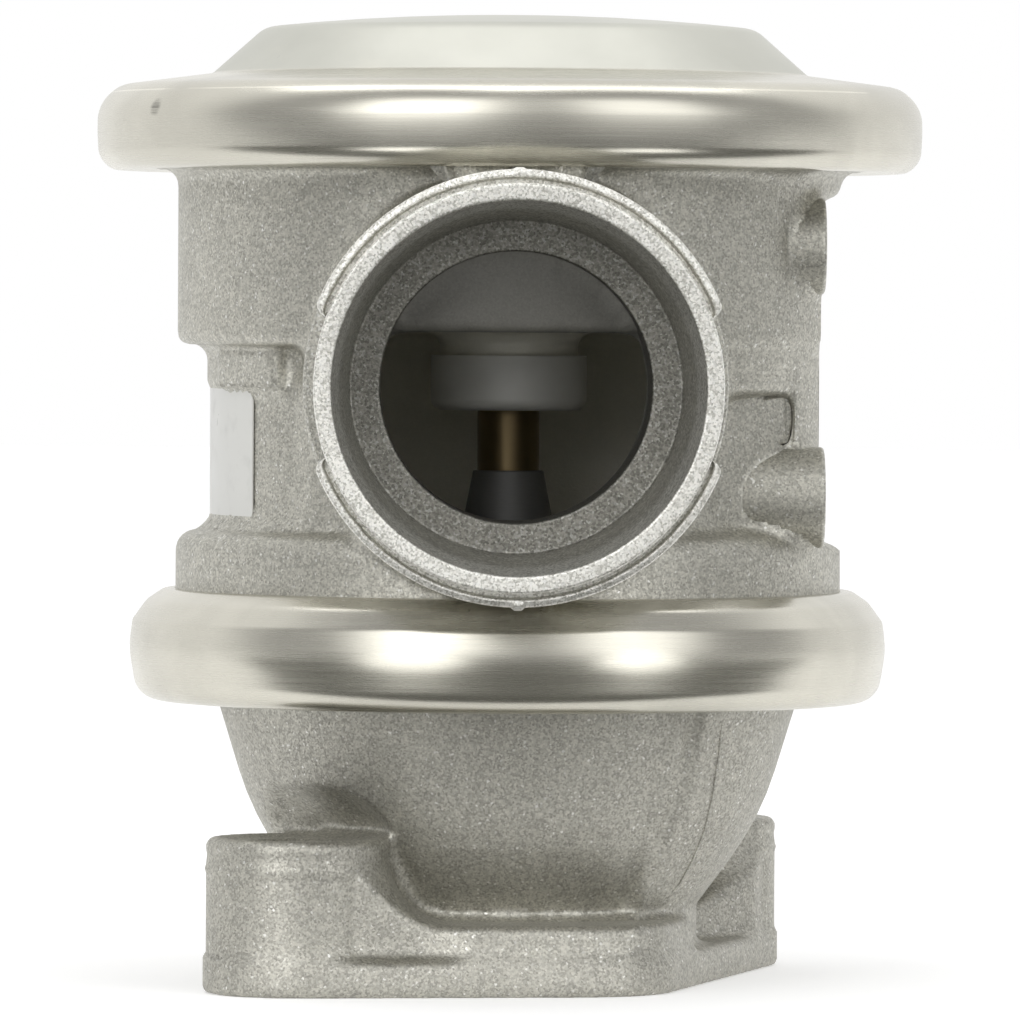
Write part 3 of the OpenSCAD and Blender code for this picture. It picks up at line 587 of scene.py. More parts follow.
def turned_piece(name, node, section, longest, steps, material, slot, body=FIXED):
    """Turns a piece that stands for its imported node."""
    return place(spun(name, close_steps(section, longest), material, steps), body, slot, node)


# ---------------------------------------------------------------- cast skins


def true_up(points, normals, held, centre, axis, section, reach=0.13):
    """Moves points that lie near a turned face onto it, and marks them as held."""
    axis = np.array(axis, float)
    local = points - np.array(centre, float)
    along = local @ axis
    across = local - along[:, None] * axis
    radius = np.linalg.norm(across, axis=1)
    out = across / np.maximum(radius, 1e-9)[:, None]
    face_out = (normals * out).sum(axis=1)
    face_along = normals @ axis
    spots = np.array(section, float)
    near = (along > spots[:, 1].min() - 0.3) & (along < spots[:, 1].max() + 0.3) \
        & (radius < spots[:, 0].max() + 0.3) & (radius > max(0.5, spots[:, 0].min() - 0.3))
    pick = np.nonzero(near)[0]
    best = np.full(len(pick), reach)
    target = np.stack([radius[pick], along[pick]], axis=1)
    here = target.copy()
    tilt = np.stack([face_out[pick], face_along[pick]], axis=1)
    for p, q in zip(spots[:-1], spots[1:]):
        step = q - p
        length = np.linalg.norm(step)
        if length < 1e-6:
            continue
        step /= length
        side = np.array([step[1], -step[0]])
        offset = here - p
        done = offset @ step
        gap = offset @ side
        fits = (done > -0.03) & (done < length + 0.03) & (np.abs(gap) < best) & (np.abs(tilt @ side) > 0.86)
        best[fits] = np.abs(gap[fits])
        target[fits] = here[fits] - gap[fits, None] * side
    moved = best < reach
    index = pick[moved]
    points[index] = np.array(centre, float) + target[moved, 1:2] * axis + target[moved, 0:1] * out[index]
    held[index] = True


def share_of(distance, whole):
    """How much of a whole length has been passed, from 0 to 1."""
    return np.clip(distance / whole, 0, 1)


def smooth_free(points, edges, held, passes):
    """Evens out the points that no turned face holds."""
    a, b = edges[:, 0], edges[:, 1]
    count = len(points)
    links = np.maximum(np.bincount(a, minlength=count) + np.bincount(b, minlength=count), 1)
    free = ~held
    for _ in range(passes):
        total = np.stack([np.bincount(a, points[b, k], count) + np.bincount(b, points[a, k], count)
                          for k in range(3)], axis=1)
        points[free] += 0.5 * (total / links[:, None] - points)[free]


def cast_copy(name, node, material, grain, turned_faces, flats, shape, passes=9):
    """A merged copy of a cast node with even, softly rounded skin and true turned faces."""
    obj = copied(name, node, material)
    skin = obj.modifiers.new("Skin", "REMESH")
    skin.mode = "VOXEL"
    skin.voxel_size = grain
    mesh = settled(obj, skin)
    count = len(mesh.vertices)
    points, normals = np.empty(count * 3), np.empty(count * 3)
    mesh.vertices.foreach_get("co", points)
    mesh.vertices.foreach_get("normal", normals)
    points = points.reshape(-1, 3) / MM
    normals = normals.reshape(-1, 3)
    edges = np.empty(len(mesh.edges) * 2, np.int64)
    mesh.edges.foreach_get("vertices", edges)
    edges = edges.reshape(-1, 2)
    held = np.zeros(count, bool)
    for centre, axis, section in turned_faces:
        true_up(points, normals, held, centre, axis, section)
    for k, value in flats:
        level = (np.abs(points[:, k] - value) < 0.08) & (np.abs(normals[:, k]) > 0.97)
        points[level, k] = value
        held |= level
    loose = ~held
    border = (np.bincount(edges[:, 0], loose[edges[:, 1]], count)
              + np.bincount(edges[:, 1], loose[edges[:, 0]], count)) > 0
    smooth_free(points, edges, held & ~border, passes)
    points = shape(points, normals)
    mesh.vertices.foreach_set("co", (points * MM).ravel())
    mesh.update()
    if not mesh.materials:
        mesh.materials.append(material)
    for face in mesh.polygons:
        face.use_smooth = True
    return obj


# ---------------------------------------------------------------- shader groups


@once("node_groups")
def cast_group(name):
    """Grain of a die casting: fine crystals, flow marks and bright specks painted as glints."""
    tree, given, shown = new_tree(
        name, "ShaderNodeTree",
        [("Place", "NodeSocketVector", None), ("Grain", "NodeSocketFloat", 0.00019),
         ("Mottle", "NodeSocketFloat", 0.3), ("Specks", "NodeSocketFloat", 0.5)],
        [("Tone", "NodeSocketFloat"), ("Speck", "NodeSocketFloat"),
         ("Height", "NodeSocketFloat"), ("Roughness", "NodeSocketFloat")])
    where, density = given["Place"], 1.0 / given["Grain"]
    fine = noise(tree, where, density, Detail=2.0, Roughness=0.6)
    flow = noise(tree, where, density * 0.11, Detail=3.0, Roughness=0.55, Distortion=0.6)
    broad = noise(tree, where, density * 0.02, Detail=2.0)
    cells = add(tree, "ShaderNodeTexVoronoi", {"Vector": where, "Scale": density * 0.8, "Randomness": 1.0})
    split = add(tree, "ShaderNodeSeparateColor", {0: cells.outputs["Color"]})
    glint, tint, depth = (Value(socket) for socket in split.outputs)
    mottle = (fine - 0.5) * 0.9 + (tint - 0.5) * 0.75 + ((flow - 0.5) * 0.35 + (broad - 0.5) * 0.3)
    rare = 1.0 - given["Specks"] * 0.12
    wire(shown, {
        "Tone": 1.0 + mottle * given["Mottle"],
        # Speck marks the bright cells that the materials paint near-white as glints.
        "Speck": glint.ramp(rare, 1.0) * 0.55,
        "Height": fine * 0.6 + (depth * 0.4 + flow * 0.5),
        "Roughness": 0.42 + depth * 0.2})
    return tree


@once("node_groups")
def marks_group(name):
    """Marks that run round a turned or rolled piece, with fine specks and clouded patches."""
    tree, given, shown = new_tree(
        name, "ShaderNodeTree",
        [("Place", "NodeSocketVector", None), ("Pitch", "NodeSocketFloat", 0.00012),
         ("Wear", "NodeSocketFloat", 0.5)],
        [("Streak", "NodeSocketFloat"), ("Speck", "NodeSocketFloat"),
         ("Cloud", "NodeSocketFloat"), ("Radius", "NodeSocketFloat")])
    where = given["Place"]
    x, y, z = parts(tree, where)
    radius = hypot(x, y)
    safe = radius.do("MAXIMUM", 1e-5)
    ringed = add(tree, "ShaderNodeCombineXYZ",
                 {0: x / safe * 3.0, 1: y / safe * 3.0, 2: (z + radius * 0.83) / given["Pitch"]})
    cells = noise(tree, where, 2600.0, Detail=1.0)
    patch = noise(tree, where, 160.0, Detail=3.0)
    wire(shown, {
        "Streak": noise(tree, ringed, 1.0, Detail=3.0, Roughness=0.65),
        "Speck": cells.ramp(0.74, 0.8) * (patch.ramp(0.5, 0.62) * given["Wear"]),
        "Cloud": noise(tree, where, 70.0, Detail=4.0, Distortion=0.4),
        "Radius": radius})
    return tree


# ---------------------------------------------------------------- materials


def blank_material(name):
    """A new material with its tree and its Principled shader."""
    material = bpy.data.materials.new(name)
    material.use_nodes = True
    return material, material.node_tree, material.node_tree.nodes["Principled BSDF"]


def object_place(tree):
    """The object coordinates."""
    return add(tree, "ShaderNodeTexCoord").outputs["Object"]


def results(tree, group, **inputs):
    """The results of a shader group, by name."""
    node = add(tree, "ShaderNodeGroup", inputs, node_tree=group)
    return {socket.name: Value(socket) for socket in node.outputs}


def mixed(share, first, second):
    """Mixes two colours by a share."""
    tree = share.socket.id_data
    return Value(add(tree, "ShaderNodeMix", {0: share, 6: first, 7: second}, data_type="RGBA").outputs[2])


def shade(colour, factor):
    """A colour made darker or lighter."""
    return (*(min(1, part * factor) for part in colour[:3]), 1.0)


def bump(shader, height, strength, distance):
    """Joins a height to the shader's normal."""
    inputs = {"Strength": strength, "Distance": distance, "Height": height}
    wire(shader, {"Normal": add(shader.id_data, "ShaderNodeBump", inputs)})


@once("materials")
def cast_material(name, colour, specks, rough, paint_air_path_shade=False):
    """Die-cast aluminium with its grain, and painted shade along the air path that makes it dull and dark,
    with a painted lift deep in the chamber.
    """
    material, tree, shader = blank_material(name)
    where = object_place(tree)
    grain = results(tree, cast_group("Casting grain"), Place=where, Grain=finish().grain, Mottle=0.45,
                    Specks=specks)
    skin = mixed(grain["Tone"].ramp(0.6, 1.4), shade(colour, 0.58), shade(colour, 1.42))
    glint, metallic = grain["Speck"], 1.0
    if paint_air_path_shade:
        x, y, z = parts(tree, where)
        off_bore, off_axis = hypot(x, z - PORT_HEIGHT * MM), hypot(x, y)
        bore = off_bore.ramp(11.7 * MM, 12.2 * MM, 1.0, 0.0) * y.ramp(-14 * MM, -12 * MM, 1.0, 0.0)
        # Painted shade: the bore and the walls round the chamber are darkened, less metallic and without
        # glints.
        painted_bore_shade = bore.do("MAXIMUM", off_axis.ramp(21.5 * MM, 22.3 * MM, 1.0, 0.0))
        # Painted light: inside the chamber the colour is lifted instead, so the painted shade does not leave
        # it too dark.
        chamber_lift = off_axis.ramp(21.3 * MM, 21.9 * MM, 1.0, 0.0)
        skin = mixed(painted_bore_shade * 0.9, skin, mixed(chamber_lift, shade(colour, 0.26), shade(colour, 1.6)))
        glint, metallic = glint * (1.0 - painted_bore_shade), 1.0 - painted_bore_shade * 0.8
    # Painted glints: the bright specks mix towards near-white.
    wire(shader, {"Base Color": mixed(glint, skin, (0.95, 0.95, 0.93, 1.0)), "Metallic": metallic,
                  "Roughness": grain["Roughness"] - glint * 0.2 + rough})
    bump(shader, grain["Height"], 0.4, 0.00006)
    return material


@once("materials")
def port_material(name):
    """The port's casting: a bright face and bead, partly rubbed and partly painted light, and painted shade
    in the mouth behind them.
    """
    material, tree, shader = blank_material(name)
    where = object_place(tree)
    grain = results(tree, cast_group("Casting grain"), Place=where, Grain=finish().grain, Mottle=1.0,
                    Specks=2.4)
    tone, colour = grain["Tone"], finish().cast
    x, y, z = parts(tree, where)
    out, ahead = hypot(x, z - PORT_HEIGHT * MM), y * -1.0
    # Painted shade: inside the mouth's cone the colour goes dark, a little less on the ledge.
    mouth = (ahead * 0.1167 - out).ramp(-9.76 * MM, -9.66 * MM)
    ledge = ahead.ramp(32.55 * MM, 32.85 * MM, 1.0, 0.0) * out.ramp(10.9 * MM, 11.2 * MM)
    mouth_shade = mouth * (1.0 - ledge * 0.45)
    plain = mixed(tone.ramp(0.3, 1.7), shade(colour, 0.58), shade(colour, 1.42))
    # The face and bead are lighter, partly as a rubbed finish and partly as painted light.
    rubbed_and_lit_face = mixed(tone.ramp(0.45, 1.4), shade(colour, 0.95), (1.0, 0.99, 0.94, 1.0))
    mouth_shade_colour = mixed(tone.ramp(0.5, 1.5), shade(colour, 0.1), shade(colour, 0.24))
    skin = mixed(mouth_shade, mixed(ahead.ramp(38 * MM, 41 * MM), plain, rubbed_and_lit_face), mouth_shade_colour)
    # Painted glints: the bright specks mix towards near-white, except where the mouth's painted shade lies.
    wire(shader, {"Base Color": mixed(grain["Speck"] * (1.0 - mouth_shade), skin, (0.95, 0.95, 0.92, 1.0)),
                  "Roughness": grain["Roughness"] + mouth_shade * 0.12, "Metallic": 1.0})
    bump(shader, grain["Height"], 0.6, 0.00006)
    return material


def rolled_steel(name, dome_edge):
    """Burnished rim steel, with a satin dome inside a radius in mm."""
    material, tree, shader = blank_material(name)
    where, colour, satin = object_place(tree), finish().rim_steel, finish().dome_steel
    rough, dome_rough = 0.27, 0.46
    marks = results(tree, marks_group("Rolling marks"), Place=where, Pitch=0.00016, Wear=0.5)
    streak, cloud = marks["Streak"], marks["Cloud"]
    inside = marks["Radius"].ramp((dome_edge - 0.25) * MM, (dome_edge + 0.1) * MM, 1.0, 0.0)
    warm = mixed(cloud.ramp(0.35, 0.7), shade(colour, 0.9), shade(colour, 1.06))
    pale = mixed(cloud.ramp(0.3, 0.7), shade(satin, 0.95), shade(satin, 1.04))
    skin = mixed(streak.ramp(0.62, 0.8) * 0.12, mixed(inside, warm, pale), shade(colour, 1.3))
    skin = mixed(marks["Speck"] * 0.6, skin, shade(colour, 0.4))
    if dome_edge > 0:
        off_line = (parts(tree, where)[2] - 74.25 * MM).do("ABSOLUTE")
        line = off_line.ramp(0.03 * MM, 0.09 * MM, 0.55, 0.0) * cloud.ramp(0.4, 0.6)
        skin = mixed(line, skin, shade(colour, 1.5))
        away = Value(add(tree, "ShaderNodeVectorMath", {0: where, 1: (-29.6 * MM, -17.9 * MM, 72.8 * MM)},
                         operation="DISTANCE").outputs["Value"])
        stain = away.ramp(0.35 * MM, 1.0 * MM, 0.8, 0.0) * streak.ramp(0.3, 0.6)
        skin = mixed(stain, skin, shade(colour, 0.3))
    wire(shader, {"Base Color": skin, "Metallic": 1.0,
                  "Roughness": rough + inside * (dome_rough - rough) + (streak - 0.5) * 0.12})
    bump(shader, streak, 0.05, 0.00002)
    return material


def turned_material(name, colour, rough, wear, metallic=1.0):
    """Plain turned or drawn metal with marks that run round it and patches of dark specks."""
    material, tree, shader = blank_material(name)
    marks = results(tree, marks_group("Rolling marks"), Place=object_place(tree), Pitch=0.00009, Wear=wear)
    skin = mixed(marks["Cloud"].ramp(0.35, 0.7), shade(colour, 0.82), shade(colour, 1.1))
    wire(shader, {"Base Color": mixed(marks["Speck"] * 0.8, skin, shade(colour, 0.3)), "Metallic": metallic,
                  "Roughness": rough + (marks["Streak"] - 0.5) * 0.3})
    bump(shader, marks["Streak"], 0.25, 0.00002)
    return material


def rubber_material():
    """Moulded black rubber with a faint bloom."""
    material, tree, shader = blank_material("finish_rubber")
    where, colour = object_place(tree), finish().rubber
    bloom = noise(tree, where, 240.0, Detail=4.0)
    wire(shader, {"Base Color": mixed(bloom.ramp(0.4, 0.75), shade(colour, 0.8), shade(colour, 2.2)),
                  "Roughness": 0.48 + bloom * 0.25})
    bump(shader, noise(tree, where, 5200.0, Detail=2.0), 0.3, 0.00003)
    return material


def label_material():
    """Glossy white label film, a little soiled in patches."""
    material, tree, shader = blank_material("finish_label")
    soil, colour = noise(tree, object_place(tree), 420.0, Detail=4.0), finish().label
    wire(shader, {"Base Color": mixed(soil.ramp(0.5, 0.85), shade(colour, 1.0), shade(colour, 0.82)),
                  "Roughness": 0.22 + soil * 0.2})
    bump(shader, soil, 0.12, 0.00004)
    return material


def cast_aluminium():
    """The housing's casting."""
    return cast_material("finish_casting", finish().cast, 0.35, 0.0, True)


def cast_body():
    """The lower body's casting."""
    return cast_material("finish_casting_body", finish().cast_body, 0.25, 0.04)


# ---------------------------------------------------------------- operators


class VALVE_OT_cover(bpy.types.Operator):
    """Rolls the domed steel cover with its breather hole"""

    bl_idname = "valve.cover"
    bl_label = "Domed cover"

    def execute(self, context):
        size = form()
        rim, thick = size.cover_radius / MM, size.cover_sheet / MM
        low, crown = foot("cover"), top("cover")
        shoulder, dome_foot, edge = crown - 1.1, crown - 5.0, crown - 6.25
        face = [(rim - 3.9, low, 0), (rim, low - 0.5, 2.6), (rim, edge, 3.0), (25.0, dome_foot, 0.8),
                (20.6, shoulder, 2.4)]
        face += [(20.6 * i / 6, crown - 1.1 * (i / 6) ** 2, 0) for i in range(5, -1, -1)]
        section = [(max(0.0, x), z) for x, z in sheet(face, thick)]
        section = crowned(close_steps(section, 0.8), rim, low, edge, 0.25, 0.2)
        obj = spun("cover_steel", section, rolled_steel("finish_cover", 25.0))
        hole = bpy.data.meshes.new("breather")
        bm = bmesh.new()
        drill = 1.2 * MM
        bmesh.ops.create_cone(bm, cap_ends=True, segments=48, radius1=drill, radius2=drill, depth=8 * MM)
        bmesh.ops.translate(bm, verts=bm.verts, vec=(0, 22.8 * MM, (dome_foot + 2) * MM))
        bm.to_mesh(hole)
        bm.free()
        cutter = linked("breather", hole)
        cut = obj.modifiers.new("Breather", "BOOLEAN")
        cut.object, cut.operation, cut.solver = cutter, "DIFFERENCE", "EXACT"
        settled(obj, cut).set_sharp_from_angle(angle=math.radians(40))
        bpy.data.objects.remove(cutter)
        place(obj, FIXED, "rolled_steel", "cover")
        return {"FINISHED"}


class VALVE_OT_crimp_ring(bpy.types.Operator):
    """Rolls the steel ring that joins the two castings"""

    bl_idname = "valve.crimp_ring"
    bl_label = "Crimp ring"

    def execute(self, context):
        size = form()
        rim, thick = size.ring_radius / MM, size.ring_sheet / MM
        low, high = foot("crimp_ring"), top("crimp_ring")
        section = close_steps(sheet([
            (26.6, low, 0), (rim - 0.75, low, 2.1), (rim, low + 4.35, 9), (rim - 0.3, low + 6.7, 0.8),
            (30.3, high - 0.95, 2), (28.9, high, 1), (27.95, high, 0)], thick), 0.6)
        obj = spun("crimp_ring_steel", section, rolled_steel("finish_ring", -1.0))
        place(obj, FIXED, "rolled_steel", "crimp_ring")
        return {"FINISHED"}


class VALVE_OT_housing(bpy.types.Operator):
    """Gives the cast housing its skin and its hose port"""

    bl_idname = "valve.housing"
    bl_label = "Housing and hose port"

    def execute(self, context):
        clamp = top("housing")
        skin = rounded([
            (0, 28.5, 0), (30.5, 28.5, 0.4), (30.5, 31.5, 1.4), (27.9, 31.5, 0), (27.9, 37.3, 2),
            (25.3, 37.9, 0.8), (25.3, 53.2, 0.3), (27.8, 53.2, 1), (27.8, 67.9, 2), (30.65, 67.9, 0),
            (30.65, clamp - 3.2, 0), (33.35, clamp - 3.2, 1.5), (33.35, clamp, 1.6), (0, clamp, 0)])
        tube = rounded([(0, 5, 0), (17.2, 5, 0), (17.2, 31.4, 0.8), (16.2, 32.0, 0.4), (16.2, 45, 0.5),
                        (0, 45, 0)])
        mouth, bore = [(0, 32.5), (13.5, 32.5), (14.9, 44.5)], [(11.0, 5), (11.0, 32.5)]
        drum = rounded([(0, 57, 0), (25.4, 57, 1.2), (25.4, clamp - 1.2, 0), (26.6, clamp, 0),
                        (0, clamp + 1, 0)])
        chambers = ([(21.0, 38.0), (21.0, 54.4)], [(21.0, 28.5), (21.0, 35.5)],
                    [(11.5, 35.1), (11.5, 38.0)], [(5.8, 51.0), (5.8, 54.4)])
        turned = [((0, 0, 0), UP, skin)]
        turned += [((0, 0, PORT_HEIGHT), (0, -1, 0), face) for face in (tube, mouth, bore)]
        turned += [((0, 0, 0), UP, face) for face in (drum, *chambers)]
        turned.append(((0, 0, NIPPLE_HEIGHT), (0, 1, 0), [(5.2, 25), (5.2, 31.9), (0, 31.9)]))
        turned += [((0, -BOSS_AHEAD, height), (1, 0, 0), [(round_by, 22), (round_by, 25.9), (0, 25.9)])
                   for round_by, height in ((4.15, 40.8), (3.95, 61.6))]
        flats = [(0, 25.7), (0, -24.1), (2, 28.5), (2, clamp)]

        def shape(points, normals):
            # The casting keeps inside the port piece, which covers its tube, its ledge and its bore.
            tube_from, tube_skin, face_skin, ledge_skin, bore_skin = 32.0, 15.9, 44.1, 32.15, 11.4
            x, z = points[:, 0], points[:, 2] - PORT_HEIGHT
            out = np.hypot(x, z)
            ahead = -points[:, 1]
            share = share_of(ahead - tube_from, 0.7)
            mouth_skin = 13.5 + 1.4 * (ahead - 32.5) / 12 + 0.3
            kept = np.clip(out, mouth_skin, tube_skin)
            change = np.where(out < 25, (kept - out) * share, 0) / np.maximum(out, 1e-6)
            tube = (ahead > tube_from) & (out < 22)
            points[tube, 0] += (x * change)[tube]
            points[tube, 2] += (z * change)[tube]
            points[tube, 1] = np.maximum(points[tube, 1], -face_skin)
            ledge = (ahead > 31.6) & (ahead < 33.2) & (out < 13.9)
            points[ledge, 1] = np.maximum(points[ledge, 1], -ledge_skin)
            bore = (ahead > 22.3) & (ahead < 33.2) & (out > 10.2) & (out < bore_skin)
            grown = bore_skin / np.maximum(out, 1e-6)
            points[bore, 0] *= grown[bore]
            points[bore, 2] = PORT_HEIGHT + z[bore] * grown[bore]
            # The flat panel and the raised band at the right, the raised pad and the waist at the left.
            x, y, z = points[:, 0], points[:, 1], points[:, 2]
            level = -17.5 + 0.7 * (x - 17)
            front = (y < -5) & (normals[:, 1] < 0)
            panel = front & (x > 17) & (x < 23.45) & (y > level) & (z > 38.3) & (z < 49.1)
            points[panel, 1] = level[panel]
            out = np.hypot(x, y)
            band = front & (x > 16.8) & (z > 38.6) & (z < 51.4) & (out > 26.3)
            points[band, 1] += 0.45
            skin = (x < -16.6) & (out > 24.7) & (out < 26.2)
            pad = skin & front & (x > -24.3) & (x < -19.0) & (z > 49.7) & (z < 52.6)
            sunk = share_of(49.75 - z, 0.2) * share_of(z - 38.1, 1.6) * share_of(-16.6 - x, 1.5)
            change = np.where(pad, 0.3, np.where(skin, -0.42 * sunk, 0)) / np.maximum(out, 1e-6)
            points[:, 0] += x * change
            points[:, 1] += y * change
            return points

        obj = cast_copy("housing_casting", "housing", cast_aluminium(), form().housing_skin, turned, flats,
                        shape)
        place(obj, FIXED, "cast_aluminium", "housing")
        place(self.port(), FIXED, "cast_aluminium")
        for boss in BOSSES:
            place(self.boss(*boss), FIXED, "cast_aluminium")
        return {"FINISHED"}

    def boss(self, name, reach, height, wall):
        """A machined boss at the housing's right side, laid along X, rooted inside the housing's wall."""
        start, still_from, end = 16.5, 25, 25.93
        section = rounded([(0, start, 0), (reach - 0.5, start, 0), (reach, start + 1, 0), (reach, end, 0.35),
                           (1.7, end, 0.15), (1.5, 25.5, 0.1), (0, 25.5, 0)])
        obj = spun(name, close_steps(section, 0.8), cast_aluminium(), 128)
        moved_to(obj, ((0, 0, 1), (0, 1, 0), (-1, 0, 0)), (0, -BOSS_AHEAD * MM, height * MM))
        for point in obj.data.vertices:
            x, y = point.co.x / MM, point.co.y / MM
            root = max(math.sqrt(wall ** 2 - y ** 2), start)
            point.co.x += (root - start) * max(still_from - x, 0) / (still_from - start) * MM
        return obj

    def port(self):
        """The port's outer tube with its interrupted bead, its face and its mouth."""
        start, collar, drum_from = 20.5, 31.2, 53
        section = rounded([
            (13.9, collar, 0), (16.0, collar, 0), (16.0, start, 0), (17.25, start, 0), (17.25, 31.4, 0.7),
            (16.2, 32.0, 0.4), (16.2, 41.1, 0.4), (17.5, 41.5, 0.35),
            (17.5, 43.2, 0.4), (16.86, 43.5, 0.2), (16.72, 42.5, 0.05), (16.42, 42.5, 0.05), (16.42, 44.1, 0),
            (16.3, 44.5, 0.2), (15.0, 44.5, 0.25), (13.5, 32.5, 0.25), (11.0, 32.5, 0.3), (11.0, 22.6, 0),
            (11.2, 22.6, 0), (11.2, 31.9, 0), (13.7, 31.9, 0)])
        section = np.array(close_steps(spaced(section), 0.7))
        steps = 384
        turn = np.arange(steps) * FULL_TURN / steps
        side = np.degrees(np.arcsin(np.minimum(np.abs(np.sin(turn)), 1)))
        gap = math.degrees(form().bead_gap)
        full = np.sqrt(1 - (1 - share_of(side - gap, 3.0)) ** 2)
        nib = share_of(1.9 - (90 - side), 0.8) * np.where(np.sin(turn) > 0, 0.6, 1.0)
        points, faces = [], []
        for r, ahead in section:
            here = np.full(steps, r)
            if 40.9 < ahead < 44.1 and r > 16.2:
                here = 16.2 + (r - 16.2) * full + 0.25 * nib * (r > 17)
            x, z = here * np.cos(turn), PORT_HEIGHT + here * np.sin(turn)
            wall = np.where(z > drum_from, 26, 23)
            root = np.maximum(np.sqrt(wall ** 2 - x ** 2), start)
            sunk = (root - start) * max(collar - ahead, 0) / 10.7 if r > 15.9 else 0 * x
            points += zip(x, -ahead - sunk, z)
        rows = len(section)
        for i in range(rows):
            for j in range(steps):
                a, b = i * steps, ((i + 1) % rows) * steps
                k = (j + 1) % steps
                faces.append((a + j, a + k, b + k, b + j))
        return mesh_object("port_bead", points, faces, port_material("finish_port"), 50)


class VALVE_OT_lower_body(bpy.types.Operator):
    """Gives the cast lower body its skin, its parting line and its witness pad"""

    bl_idname = "valve.lower_body"
    bl_label = "Lower body"

    def execute(self, context):
        bowl = rounded([(0, 3, 0), (16, 3, 0), (16, 6.4, 0.4), (21.3, 13.6, 25), (24.7, 24.7, 0),
                        (0, 24.7, 0)])
        flange = rounded([(0, 24.2, 0), (24.7, 24.2, 0), (25.3, 24.7, 0), (30.5, 24.7, 1), (30.5, 28.5, 0.4),
                          (0, 28.5, 0)])
        inside = rounded([(0, -1, 0), (11.5, -1, 0), (11.5, 8.5, 0), (14.5, 12.0, 1), (14.5, 16.95, 1),
                          (17.4, 18.75, 0.8), (17.4, 21.4, 0), (19.65, 21.4, 0), (19.65, 29.5, 0),
                          (0, 29.5, 0)])
        turned = [((0, 0, 0), UP, face) for face in (bowl, flange, inside)]
        curve = [(7.4 + 6 * (1 + math.cos(math.radians(a))), 5.7 + 6 * (1 + math.sin(math.radians(a))))
                 for a in range(270, 179, -10)]
        lug = ([(7.75, 0), (7.75, 3)], [(7.5, 3), (7.5, 12.8)], [(3.3, 0), (3.3, 12.5)],
               [(6.0, 12.5), (6.0, 12.8)], curve)
        knee = ([(9.0, 0), (9.0, 3)], [(8.4, 3), (8.4, 5.8)])
        bolts, knees = math.radians(228), math.radians(288.5)
        for shift, reach, angle, faces in ((-0.8, 25, bolts, lug), (0, 15.8, knees, knee)):
            for s in (1, -1):
                spot = (shift + s * reach * math.cos(angle), s * reach * math.sin(angle), 0)
                turned += [(spot, UP, face) for face in faces]
        flats = [(2, 0), (2, 3), (2, 5.8), (2, 12.5), (2, 12.8), (2, 28.5)]

        def shape(points, normals):
            x, z = points[:, 0], points[:, 2]
            pad = [share_of(v, 0.35) for v in (x - 1.8, 6.3 - x, z + 0.2, 1.85 - z)]
            rise = pad[0] * pad[1] * pad[2] * pad[3] * np.clip(-normals[:, 1] * 2 - 0.8, 0, 1)
            rise[points[:, 1] > -20] = 0
            points[:, 1] -= 0.14 * rise
            ridge_x = np.interp(z, [3.0, 5.9, 12.2, 18.6, 22.8], [10.2, 10.4, 11.4, 13.3, 13.6])
            rise = np.exp(-((x - ridge_x) / 0.8) ** 2) * share_of(z - 2.5, 3) * share_of(24.2 - z, 2)
            front = (points[:, 1] < -9) & (normals[:, 1] < -0.3)
            points[front] += 0.38 * rise[front, None] * normals[front]
            return points

        obj = cast_copy("lower_casting", "lower_body", cast_body(), form().body_skin, turned, flats, shape)
        place(obj, FIXED, "cast_aluminium", "lower_body")
        self.parting_line(context, obj)
        return {"FINISHED"}

    def parting_line(self, context, casting):
        """Lays the thin line that the two halves of the die left on the bowl."""
        tree = BVHTree.FromObject(casting, context.evaluated_depsgraph_get())
        route = [(17.4, 22.6), (17.2, 19.8), (16.7, 16.0), (16.1, 13.2), (15.2, 10.8), (14.2, 8.8),
                 (12.9, 7.2)]
        spots = []
        for (x0, z0), (x1, z1) in zip(route[:-1], route[1:]):
            for i in range(6):
                x, z = x0 + (x1 - x0) * i / 6, z0 + (z1 - z0) * i / 6
                hit = tree.ray_cast(Vector((x * MM, -0.06, z * MM)), Vector((0, 1, 0)))
                if hit[0] is not None:
                    spots.append(hit[0])
        if len(spots) < 8:
            raise RuntimeError("the parting line found no casting to lie on")
        path = bpy.data.meshes.new("parting_line")
        path.from_pydata(spots, [(i, i + 1) for i in range(len(spots) - 1)], [])
        line = grow("parting_line", bead_tree("Fine bead"),
                    {"Radius": 0.00012, "Count": 90, "Finish": cast_body()}, path)
        tidy(line.data)
        place(line, FIXED, "cast_aluminium")


